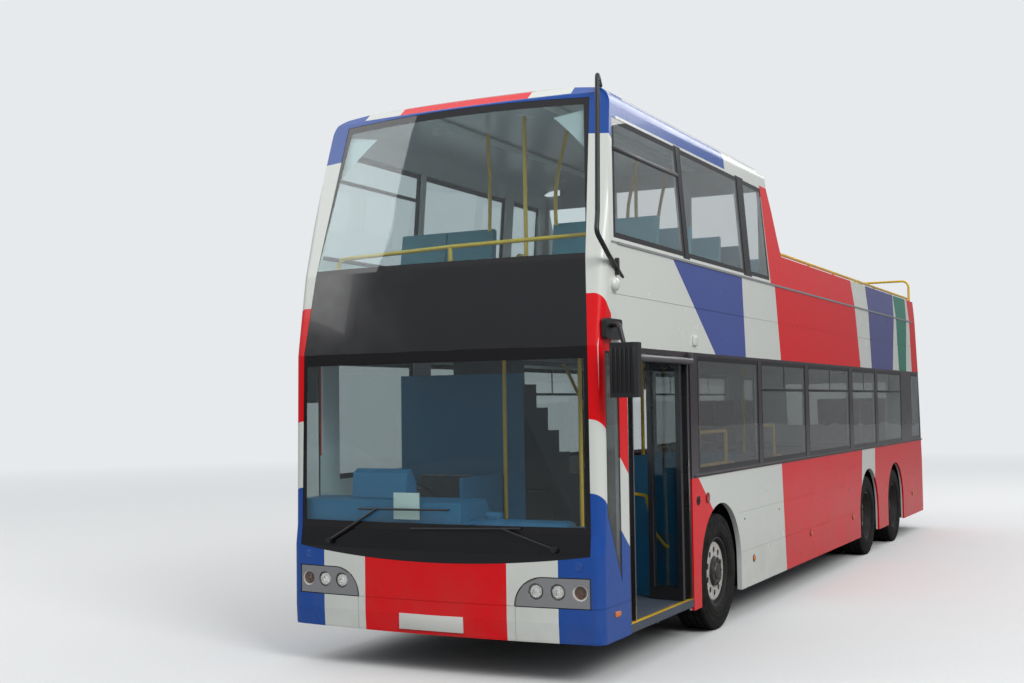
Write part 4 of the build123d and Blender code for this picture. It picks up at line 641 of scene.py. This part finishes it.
def trim_ring(form, centre, sign):
    """A pressed ring with a hole round each nut, and its edges rolled towards the wheel."""
    turn = Matrix.Translation(centre) @ Matrix.Rotation(math.pi / 2, 4, "X")
    rings = [(64, 0.232, Vector()), (48, 0.126, Vector())]
    for angle, along, up in round_hub(NUTS, HOLE_CIRCLE, 0.5):
        rings.append((18, HOLE_RADIUS, Vector((along, up, 0))))
    edges = []
    for segments, radius, offset in rings:
        made = bmesh.ops.create_circle(form, segments=segments, radius=radius,
                                       matrix=turn @ Matrix.Translation(offset))
        edges += linked(made, "link_edges")
    face = bmesh.ops.triangle_fill(form, edges=edges, use_beauty=True, use_dissolve=False)
    raise_faces(form, [part for part in face["geom"] if isinstance(part, bmesh.types.BMFace)], -sign * 0.003)
    outer_roll = [(0.0005, 0.231), (-0.002, 0.238), (-0.016, 0.246), (-0.018, 0.244), (-0.005, 0.235)]
    inner_roll = [(0.0005, 0.128), (-0.002, 0.122), (-0.016, 0.1195), (-0.016, 0.122), (-0.005, 0.125)]
    turned(form, outer_roll, centre, "Y", 64, True, sign)
    turned(form, inner_roll, centre, "Y", 48, True, sign)


bolt_steel = plain_finish("bolt_steel", (0.10, 0.095, 0.09), 0.4, 200.0, 0.0005, 0.3, Metallic=0.8)
hub_grey = plain_finish("hub_grey", (0.07, 0.065, 0.06), 0.5, 120.0, 0.001, 0.35, Metallic=0.4)
trim_steel, tree, shader = new_finish("trim_stainless")
dust = ramp(tree, noise(tree, place_on(tree), 30.0), 0.4, 0.75)
stainless = blend_colour(tree, dust, (0.66, 0.64, 0.60), (0.40, 0.37, 0.33))
surface(tree, shader, stainless, 0.38, 240.0, 0.0003, 0.1, Metallic=0.25)
CAP_LINE = [(0.0, 0.117), (0.004, 0.112), (0.004, 0.088), (0.001, 0.084), (0.001, 0.066), (0.012, 0.060),
            (0.018, 0.030), (0.020, 0.0)]
for axle, set_back, insets, face_at, hub_at, trim_at in AXLES:
    finish = wheel_finish(f"{axle}_wheel_grey", set_back)
    for side, sign in SIDES:
        dress(finish, f"wheel_{axle}_{side}")
        body = f"wheels_{axle}_{side}"
        face, hub, trim = [Vector((FRONT - set_back, sign * (TRACK + out), AXLE_HEIGHT))
                           for out in (face_at, hub_at, trim_at)]
        form = bmesh.new()
        for angle, along, up in round_hub(NUTS, NUT_CIRCLE, 0.5):
            hexagon(form, face + Vector((along, 0, up)), *NUT_SIZE, sign, angle)
        close_up(form)
        fitted(form, f"{axle}_wheel_nuts_{side}", bolt_steel, "wheel_steel", body)
        form = bmesh.new()
        trim_ring(form, trim, sign)
        if axle != "front":
            deep = face_at - trim_at + 0.002
            drum = [(-0.016, 0.246), (deep, 0.250), (deep, 0.253), (-0.014, 0.248)]
            turned(form, drum, trim, "Y", 48, True, sign)
        close_up(form)
        fitted(form, f"{axle}_wheel_trim_{side}", trim_steel, "wheel_steel", body)
        form = bmesh.new()
        turned(form, CAP_LINE, hub, "Y", 40, way=sign)
        for angle, along, up in round_hub(CAP_BOLTS, CAP_BOLT_CIRCLE):
            hexagon(form, hub + Vector((along, 0, up)), *CAP_BOLT_SIZE, sign, angle)
        close_up(form)
        fitted(form, f"{axle}_hub_cap_{side}", hub_grey, "wheel_steel", body)

# Headlamps: three in each surround, a bright bowl with a bulb behind each clear lens.
# The inner two have black rims, and the outer one a pale ring round a brown bowl.
lens_glass = pane_finish("lens_glass", (0.95, 0.95, 0.95))
dress(lens_glass, "headlamps")
chrome = plain_finish("lamp_chrome", (0.80, 0.80, 0.78), 0.08, 60.0, 0.0002, 0.05, Metallic=1.0)
pale_ring = plain_finish("lamp_pale_ring", (0.55, 0.53, 0.50), 0.3, 200.0, 0.0004)
brown_bowl = plain_finish("lamp_brown_bowl", (0.16, 0.075, 0.03), 0.3, 200.0, 0.0004, 0.2, Metallic=0.4)
LAMP_Z = 0.628
LAMP_SINK = 0.011
BOWL = [(-0.002, 0.0445), (-0.012, 0.043), (-0.030, 0.034), (-0.042, 0.018), (-0.044, 0.012),
        (-0.030, 0.0095), (-0.016, 0.0085), (-0.010, 0.0)]
RIM = [(0.0, 0.0555), (0.0, 0.047), (-0.004, 0.044), (-0.02, 0.0445), (-0.02, 0.0555)]


def bowed(y, bow=10.3):
    """How far a bowed front or rear sits in at a distance from the middle."""
    return bow - math.sqrt(bow * bow - y * y)


for side, sign in (("near", 1), ("off", -1)):
    bowls, rims, outer_ring, outer_bowl = [bmesh.new() for _ in range(4)]
    for y in (0.792, 0.950, 1.108):
        outermost = y > 1
        centre = (FRONT - bowed(y) - LAMP_SINK, sign * y, LAMP_Z)
        turned(outer_bowl if outermost else bowls, BOWL, centre, "X", 32)
        turned(outer_ring if outermost else rims, RIM, centre, "X", 40, True)
    for form, name, finish, slot in ((bowls, "lamp_bowls_", chrome, "cast_grey"),
                                     (rims, "lamp_rims_", satin_black, "black_plastic"),
                                     (outer_ring, "side_lamp_ring_", pale_ring, "cast_grey"),
                                     (outer_bowl, "side_lamp_bowl_", brown_bowl, "cast_grey")):
        close_up(form)
        fitted(form, name + side, finish, slot)


# Number plates: blank reflective sheets on a stiff backing, one let into the bumper and one on the hatch.
# The covers of the towing points beside the front one are painted blue.
def slab(form, low, high, radius, segments=2, turn=Matrix()):
    """A block with rounded edges; turn places it."""
    low, high = Vector(low), Vector(high)
    shape = Matrix.Translation((low + high) / 2) @ Matrix.Diagonal((*(high - low), 1))
    made = bmesh.ops.create_cube(form, size=1, matrix=turn @ shape)
    bmesh.ops.bevel(form, geom=linked(made, "link_edges"), offset=radius, offset_type="OFFSET",
                    affect="EDGES", segments=segments, profile=0.5, material=-1)


plate_white = plain_finish("plate_reflective", (0.62, 0.62, 0.58), 0.35, 700.0, 0.0004, 0.06)
plate_yellow = plain_finish("rear_plate_yellow", (0.72, 0.52, 0.06), 0.35, 700.0, 0.0004, 0.06)
cover_blue = plain_finish("cover_blue", FRONT_BLUE, 0.3, 60.0, 0.0006, 0.08, Coat_Weight=0.5)
form = bmesh.new()
slab(form, (FRONT - 0.012, -0.280, 0.314), (FRONT - 0.0002, 0.240, 0.425), 0.0012)
fitted(form, "front_plate", plate_white, "body_white")
form = bmesh.new()
tilt = Matrix.Translation((-6.083, 0, 1.14)) @ Matrix.Rotation(-0.1, 4, "Y")
slab(form, (-0.008, -0.26, -0.0555), (0.008, 0.26, 0.0555), 0.0012, turn=tilt)
fitted(form, "rear_plate", plate_yellow, "body_white", "engine_hatch")
form = bmesh.new()
COVER_LINE = [(-0.004, 0.030), (0.0015, 0.029), (0.003, 0.026), (0.003, 0.022), (0.0015, 0.021),
              (0.0015, 0.0)]
for sign in (1, -1):
    turned(form, COVER_LINE, (FRONT - bowed(1.1), sign * 1.1, 0.803), "X", 28)
close_up(form)
fitted(form, "tow_covers", cover_blue, "body_blue")


# Side markers and reflectors: amber and red lenses in black rims, screwed to the skirts on both sides.
# Places are (set back, height); the kerb side also has a round filler cap with a bar across it.
def on_side(form, outline, d, z, sign, steps=24):
    """Spins an outline that faces out from the skin of a side."""
    turned(form, outline, (FRONT - d, sign * SKIN, z), "Y", steps, way=sign)


MARKERS = [(3.499, 0.490), (5.516, 0.524), (7.45, 0.530), (11.2, 0.56)]
FILLER, REFLECTOR = (2.03, 1.107), (2.262, 1.113)
amber = plain_finish("amber_lens", (0.75, 0.19, 0.015), 0.2, 320.0, 0.0006, 0.15, Coat_Weight=0.5)
lamp_red = plain_finish("lamp_red", (0.45, 0.006, 0.006), 0.15, 300.0, 0.001, 0.15, Coat_Weight=0.6)
markers, rims, reflectors, caps = [bmesh.new() for _ in range(4)]
for sign in (1, -1):
    inner, outer = sign * (SKIN - 0.004), sign * (SKIN + 0.010)
    slab(markers, (FRONT - 0.375, inner, 0.443), (FRONT - 0.285, outer, 0.479), 0.005)
    for d, z in MARKERS:
        on_side(markers, [(0.0, 0.027), (0.008, 0.026), (0.012, 0.020), (0.012, 0.0)], d, z, sign)
    for (d, z), radius in [(spot, 0.033) for spot in MARKERS] + [(FILLER, 0.038), (REFLECTOR, 0.044)]:
        ring = [(0.0, radius), (0.005, radius - 0.001), (0.006, radius - 0.005), (0.001, radius - 0.007)]
        on_side(rims, ring, d, z, sign)
    on_side(reflectors, [(0.0, 0.037), (0.004, 0.036), (0.007, 0.028), (0.007, 0.0)], *REFLECTOR, sign, 28)
on_side(caps, [(0.0, 0.031), (0.004, 0.030), (0.002, 0.022), (0.002, 0.0)], *FILLER, 1, 28)
slab(caps, (FRONT - 2.036, SKIN + 0.001, 1.094), (FRONT - 2.024, SKIN + 0.006, 1.120), 0.002)
for sign in (1, -1):
    for d in (3.25, 4.35, 6.1, 7.3, 11.0, 11.75):
        on_side(caps, [(0.0, 0.011), (0.002, 0.010), (0.002, 0.0)], d, 0.86, sign, 16)
for form, name, finish, slot in ((markers, "side_markers", amber, "lamp_red"),
                                 (rims, "marker_rims", satin_black, "black_plastic"),
                                 (reflectors, "side_reflectors", lamp_red, "lamp_red"),
                                 (caps, "lock_caps", satin_black, "black_plastic")):
    close_up(form)
    fitted(form, name, finish, slot)

# Small housings on the kerb side: a white dome by the front corner and a white box over the entrance,
# with the black bracket that holds the branch guard, all moulded plastic screwed to the skin.
white_skin = plain_finish("cover_white", WHITE, 0.35, 120.0, 0.0006, 0.06, Coat_Weight=0.3)
DOME = [(0.0, 0.052), (0.010, 0.052), (0.026, 0.044), (0.038, 0.028), (0.043, 0.0)]
form = bmesh.new()
on_side(form, DOME, 0.36, 2.715, 1, 32)
slab(form, (FRONT - 2.05, SKIN - 0.002, 2.345), (FRONT - 1.965, SKIN + 0.020, 2.425), 0.008, 3)
close_up(form)
fitted(form, "side_domes", white_skin, "body_white")
form = bmesh.new()
slab(form, (FRONT - 0.41, SKIN - 0.002, 2.78), (FRONT - 0.385, SKIN + 0.030, 2.90), 0.006, 3)
fitted(form, "guard_bracket", satin_black, "black_plastic")

# Rear lamps: three round red lenses on each side of the rear wall, each in a black rim.
# The wall bows, so the lamps sit in from its middle.
REAR_BOW = 14.0
LAMP_Y = 1.03
dress(lamp_red, "rear_lamps")
form = bmesh.new()
for sign in (1, -1):
    for z in (0.56, 0.72, 0.88):
        ring = [(0.006, 0.056), (-0.006, 0.058), (-0.006, 0.064), (0.012, 0.066), (0.012, 0.056)]
        turned(form, ring, (REAR + bowed(LAMP_Y, REAR_BOW), sign * LAMP_Y, z), "X", 36, True)
close_up(form)
fitted(form, "rear_lamp_rims", satin_black, "black_plastic")

# Mirrors: a black plastic housing on each side, ribbed on its front on the kerb side,
# with flat mirror glass let into its rear.
RIBS, RIB_PITCH, FIRST_RIB, RIB_WIDTH = 6, 0.0312, 1.372, 0.011
mirror_glass = plain_finish("mirror_glass", (0.82, 0.85, 0.87), 0.03, 3.0, 0.0001, 0.03, Metallic=1.0)
form = bmesh.new()
for n in range(RIBS):
    y = FIRST_RIB + n * RIB_PITCH
    slab(form, (FRONT - 0.041, y, 1.965), (FRONT - 0.031, y + RIB_WIDTH, 2.262), 0.003)
fitted(form, "mirror_ribs", satin_black, "black_plastic")
form = bmesh.new()
slab(form, (FRONT - 0.1645, 1.368, 1.955), (FRONT - 0.159, 1.532, 2.27), 0.012, 3)
slab(form, (FRONT - 0.6845, -1.532, 1.955), (FRONT - 0.679, -1.368, 2.265), 0.012, 3)
fitted(form, "mirror_faces", mirror_glass, "clear_glass")

# Opening lights: sliding hoppers across the heads of the windows, behind black aluminium bars.
# The upper deck has one long bar on each side, tilted as the side leans.
# Each bar reaches over the print of its bay; the four bays ahead of the last one open.
BAR_FOOT, BAR_HEAD, HOPPER_HEAD, PRINT = 1.985, 2.012, 2.262, 0.03
form = bmesh.new()
for sign, bays in ((1, NEAR_BAYS), (-1, OFF_BAYS)):
    inner, outer = sorted((sign * (SKIN - 0.010), sign * (SKIN - 0.0015)))
    for front, rear in bays[-5:-1]:
        middle = FRONT - (front + rear) / 2
        slab(form, (FRONT - rear - PRINT, inner, BAR_FOOT), (FRONT - front + PRINT, outer, BAR_HEAD), 0.002)
        slab(form, (middle - 0.012, inner, BAR_HEAD), (middle + 0.012, outer, HOPPER_HEAD), 0.002)
fitted(form, "hopper_bars", satin_black, "black_plastic")
form = bmesh.new()
for sign in (1, -1):
    tilt = Matrix.Translation((0, sign * 1.213, 3.70)) @ Matrix.Rotation(sign * 0.0757, 4, "X")
    slab(form, (FRONT - 1.85, -0.005, -0.016), (FRONT - 0.50, 0.0035, 0.016), 0.002, turn=tilt)
fitted(form, "upper_hopper_bars", satin_black, "black_plastic")

# Entrance and emergency doors: aluminium frames in dark coating round toughened glass, on hinges.
# The emergency door is a skin panel in the side's own colours, with its pane above.
door_dark = plain_finish("door_dark", (0.016, 0.015, 0.017), 0.3, 60.0, 0.0006, 0.2, Coat_Weight=0.5)
door_glass = pane_finish("door_glass", (0.62, 0.66, 0.66))
bodies = frame["record"]["behaviour"]["bodies"]


def merged_copy(source):
    """A bmesh of a CAD node with its loose triangles joined."""
    form = bmesh.new()
    form.from_mesh(frame["nodes"][source].data)
    bmesh.ops.remove_doubles(form, verts=form.verts[:], dist=1e-5)
    return form


def loose_solids(form):
    """The points, and the lowest and highest corner, of each separate solid."""
    for start in form.verts:
        if start.tag:
            continue
        start.tag = True
        solid = [start]
        for vert in solid:
            for edge in vert.link_edges:
                other = edge.other_vert(vert)
                if not other.tag:
                    other.tag = True
                    solid.append(other)
        low, high = [Vector([pick(v.co[axis] for v in solid) for axis in range(3)]) for pick in (min, max)]
        yield solid, low, high


def split_copy(source, name, finish, slot, wanted):
    """Copies those solids of a CAD node whose lowest and highest corners are wanted."""
    form = merged_copy(source)
    drop = []
    for solid, low, high in loose_solids(form):
        if not wanted(low, high):
            drop += solid
    bmesh.ops.delete(form, geom=drop, context="VERTS")
    body = next(body for body, nodes in bodies.items() if source in nodes)
    return fitted(form, name, finish, slot, body, source)


for end in ("front", "rear"):
    for leaf in ("pillar", "middle"):
        source = f"door_{end}_{leaf}_leaf"
        split_copy(source, source + "_frame", door_dark, "door_dark", lambda low, high: high.z > 2.2)
        split_copy(source, source + "_pane", door_glass, "tinted_glass", lambda low, high: high.z <= 2.2)
door_vinyls = skirt_vinyls + [(BAND_BLACK, between(1.300, 2.290))]
door_paint = paint("emergency_door_paint", door_vinyls, lining=outer_side)
split_copy("emergency_door", "emergency_door_panel", door_paint, "body_red", lambda low, high: low.z < 1)
split_copy("emergency_door", "emergency_door_pane", door_glass, "tinted_glass", lambda low, high: low.z > 1)

# Saloon and driver's seats: foam cushions and backs in woven cloth, each on its steel pedestal.
# Each pad is blown out inside its cover, as foam fills a sewn one.
PAD_VOXEL = 0.014
MOST_SWELL = 0.012
SOLVER_STEPS = 20


def evaluated_mesh(piece):
    return bpy.data.meshes.new_from_object(piece.evaluated_get(bpy.context.evaluated_depsgraph_get()))


def swollen_pad(size):
    """A pad of a given size about the origin, its cover blown out over the foam by the cloth solver."""
    form = bmesh.new()
    half = Vector([side - 1.5 * MOST_SWELL for side in size]) / 2
    slab(form, -half, half, min(size) * 0.2, 3)
    blank = new_piece(form, "pad_blank", seat_cloth)
    remesh = blank.modifiers.new("remesh", "REMESH")
    remesh.mode = "VOXEL"
    remesh.voxel_size = PAD_VOXEL
    start = evaluated_mesh(blank)
    bpy.data.objects.remove(blank)
    cover = bpy.data.objects.new("pad_cover", start.copy())
    scene.collection.objects.link(cover)
    cloth = cover.modifiers.new("cover", "CLOTH")
    cloth.settings.use_pressure = True
    cloth.settings.uniform_pressure_force = 4.0
    cloth.settings.effector_weights.gravity = 0.0
    for step in range(1, SOLVER_STEPS + 1):
        scene.frame_set(step)
    blown = evaluated_mesh(cover)
    for at_rest, vert in zip(start.vertices, blown.vertices):
        move = vert.co - at_rest.co
        if move.length > MOST_SWELL:
            vert.co = at_rest.co + move * (MOST_SWELL / move.length)
    bpy.data.objects.remove(cover)
    scene.frame_set(1)
    return blown


def cloth_finish(name, ground, figure, fleck):
    """Woven moquette with a small repeated figure and a sheen of short pile."""
    finish, tree, shader = new_finish(name)
    place = place_on(tree)
    threads = {"Vector": place, "Scale": 260.0, "Distortion": 1.5, "Detail": 2.0}
    weave = node(tree, "TexWave", threads).outputs[1]
    cells = node(tree, "TexVoronoi", {"Vector": place, "Scale": 22.0}).outputs[0]
    colour = blend_colour(tree, ramp(tree, cells, 0.30, 0.34), figure, ground)
    colour = blend_colour(tree, ramp(tree, weave, 0.55, 0.8, 0.0, 0.35), colour, fleck)
    surface(tree, shader, colour, 0.88, 900.0, 0.0012, 0.2, 0.05, Sheen_Weight=0.3)
    return finish


seat_cloth = cloth_finish("seat_moquette", (0.11, 0.02, 0.035), (0.30, 0.05, 0.03), (0.03, 0.03, 0.05))
driver_cloth = cloth_finish("driver_moquette", (0.03, 0.035, 0.045), (0.05, 0.055, 0.07), (0.02, 0.02, 0.02))
PAD_THICKNESS = 0.2
for source, finish, slot in (("lower_seats", seat_cloth, "lower_seat_cloth"),
                             ("driver_seat", driver_cloth, "driver_cloth")):
    kinds = {"cushions": bmesh.new(), "backs": bmesh.new()}
    pads = {}
    solids = merged_copy(source)
    for _, low, high in loose_solids(solids):
        size = tuple(round(side, 3) for side in high - low)
        kind = "cushions" if size[2] < PAD_THICKNESS else "backs" if size[0] < PAD_THICKNESS else None
        if kind is None:
            continue
        if size not in pads:
            pads[size] = swollen_pad(size)
        form = kinds[kind]
        before = len(form.verts)
        form.from_mesh(pads[size])
        form.verts.ensure_lookup_table()
        bmesh.ops.translate(form, verts=form.verts[before:], vec=(low + high) / 2)
    solids.free()
    for kind, form in kinds.items():
        piece = fitted(form, f"{source}_{kind}", finish, slot, source=source)
    split_copy(source, f"{source}_pedestals", chassis_coat, "black_steel",
               lambda low, high: high.z - low.z > PAD_THICKNESS and high.x - low.x > PAD_THICKNESS)

# Strip lamps: two lines of opal plastic along the ceiling of the covered upper deck, clipped to it.
LAMP_LINE, HALF_LAMP = 0.5, 0.05
lamp_white = plain_finish("strip_lamp", (0.80, 0.80, 0.76), 0.4, 200.0, 0.0004, 0.05)
form = bmesh.new()
for y in (LAMP_LINE, -LAMP_LINE):
    slab(form, (FRONT - 4.2, y - HALF_LAMP, 4.160), (FRONT - 0.9, y + HALF_LAMP, 4.176), 0.006)
fitted(form, "strip_lamps", lamp_white, "body_white")

# Screen card and entrance roller: a blank white card stands in the lower screen, and a grey roller
# hangs over the entrance between two end plates screwed to the window band.
roller_grey = plain_finish("roller_grey", (0.075, 0.07, 0.08), 0.45, 200.0, 0.0004, 0.1)
HALF_ROLLER, ROLLER_RADIUS = 0.61, 0.026
form = bmesh.new()
slab(form, (FRONT - 0.046, -0.344, 1.084), (FRONT - 0.043, -0.126, 1.274), 0.001)
fitted(form, "screen_card", white_skin, "body_white")
form = bmesh.new()
turned(form, [(-HALF_ROLLER, 0.0), (-HALF_ROLLER, ROLLER_RADIUS), (HALF_ROLLER, ROLLER_RADIUS),
              (HALF_ROLLER, 0.0)], (FRONT - 1.23, 1.293, 2.215), "X", 20)
for d in (0.612, 1.848):
    slab(form, (FRONT - d - 0.007, 1.2645, 2.192), (FRONT - d + 0.007, 1.306, 2.284), 0.003)
close_up(form)
fitted(form, "door_header_roller", roller_grey, "cast_grey")

# Door sill: a strip along the edge of the entrance's floor, coated yellow so that the edge shows.
form = bmesh.new()
slab(form, (FRONT - 1.885, 1.226, 0.350), (FRONT - 0.575, 1.2615, 0.3525), 0.0008)
fitted(form, "sill_strip", yellow, "yellow_rail")


# Guard rails inside the first bays: steel tube in a yellow coat, bent round and let into the wall
# at both ends, with a straight lower rail in the first bay.
def bent_tube(name, runs, radius, finish, slot):
    """Round tubes along runs of places, each bent with a small radius at its corners."""
    line = bpy.data.curves.new(name, "CURVE")
    line.dimensions = "3D"
    line.bevel_depth = radius
    line.bevel_resolution = 3
    line.use_fill_caps = True
    for places in runs:
        spline = line.splines.new("NURBS")
        spline.points.add(len(places) - 1)
        for point, place in zip(spline.points, places):
            point.co = (*place, 1)
        spline.order_u = 3
        spline.use_endpoint_u = True
    holder = bpy.data.objects.new(name, line)
    mesh = bpy.data.meshes.new_from_object(holder)
    bpy.data.objects.remove(holder)
    form = bmesh.new()
    form.from_mesh(mesh)
    close_up(form)
    return fitted(form, name, finish, slot)


def square_run(front, rear, y, low, high, wall):
    """A rail's line: out of the wall at its front, along, down at its rear and back into the wall."""
    corners = [Vector(corner) for corner in ((front, wall, high), (front, y, high), (rear, y, high),
                                             (rear, y, low), (rear, wall, low))]
    line = [corners[0]]
    for before, here, after in zip(corners, corners[1:], corners[2:]):
        bend = min(0.05, (before - here).length * 0.45, (after - here).length * 0.45)
        line += [here + (before - here).normalized() * bend, here, here + (after - here).normalized() * bend]
    return [(FRONT - d, y, z) for d, y, z in line + [corners[-1]]]


RAIL_Y, RAIL_FOOT, WALL_Y = 1.15, 1.36, 1.222
runs = [square_run(2.12, 3.10, RAIL_Y, RAIL_FOOT, 1.64, WALL_Y),
        square_run(3.90, 4.60, RAIL_Y, RAIL_FOOT, 1.66, WALL_Y),
        [(FRONT - d, RAIL_Y, RAIL_FOOT) for d in (2.12, 2.4, 2.8, 3.10)]]
bent_tube("bay_guard_rails", runs, 0.016, yellow, "yellow_rail")

# Waist rails: a dark rubbing strip pressed onto the skin under the side windows.
# On the off side it stops short of the emergency door at both ends.
RAIL_LOW, RAIL_HIGH, RAIL_END, DOOR_GAP = 1.292, 1.310, -5.97, 0.03
waist_rubber = plain_finish("waist_rubber", (0.05, 0.04, 0.042), 0.5, 160.0, 0.0006, 0.2)
door_low, door_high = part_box("emergency_door")
form = bmesh.new()
slab(form, (RAIL_END, SKIN - 0.002, RAIL_LOW), (FRONT - 1.96, SKIN + 0.007, RAIL_HIGH), 0.003)
for start, end in ((door_high[0] + DOOR_GAP, FRONT - 0.62), (RAIL_END, door_low[0] - DOOR_GAP)):
    slab(form, (start, -SKIN - 0.007, RAIL_LOW), (end, -SKIN + 0.002, RAIL_HIGH), 0.003)
fitted(form, "waist_rails", waist_rubber, "black_plastic")

# Front lining: a moulded plastic cover between the dash and the entrance, standing on the floor,
# with a small raised box on its top.
form = bmesh.new()
slab(form, (FRONT - 0.34, 0.16, 0.352), (FRONT - 0.17, 0.98, 1.085), 0.045, 5)
slab(form, (FRONT - 0.30, 0.30, 1.07), (FRONT - 0.22, 0.42, 1.135), 0.02, 4)
fitted(form, "front_lining", cab_blue, "cab_blue")


# Leaning poles of the covered upper deck: yellow coated steel tube, each from the aisle corner of a
# seat's back up to the ceiling.
def aisle_back(low, high):
    """Whether a solid of the seats is the aisle end of a back under the roof."""
    inner = min(abs(low.y), abs(high.y))
    return (high.x - low.x <= 0.25 and high.z >= 3.2 and high.z - low.z >= 0.4 and 0.25 < inner < 0.4
            and low.x >= FRONT - 3.9)


CEILING = 4.165
runs = []
solids = merged_copy("upper_seats")
for _, low, high in loose_solids(solids):
    if aisle_back(low, high):
        x, top = (low.x + high.x) / 2, high.z
        inner = min(abs(low.y), abs(high.y))
        side = 1 if low.y > 0 else -1
        runs.append([(x, side * (inner + 0.03), top - 0.02), (x, side * (inner + 0.02), top + 0.25),
                     (x - 0.05, side * (inner + 0.05), top + 0.5),
                     (x - 0.12, side * (inner + 0.10), CEILING)])
solids.free()
bent_tube("upper_poles", runs, 0.0155, yellow, "yellow_rail")
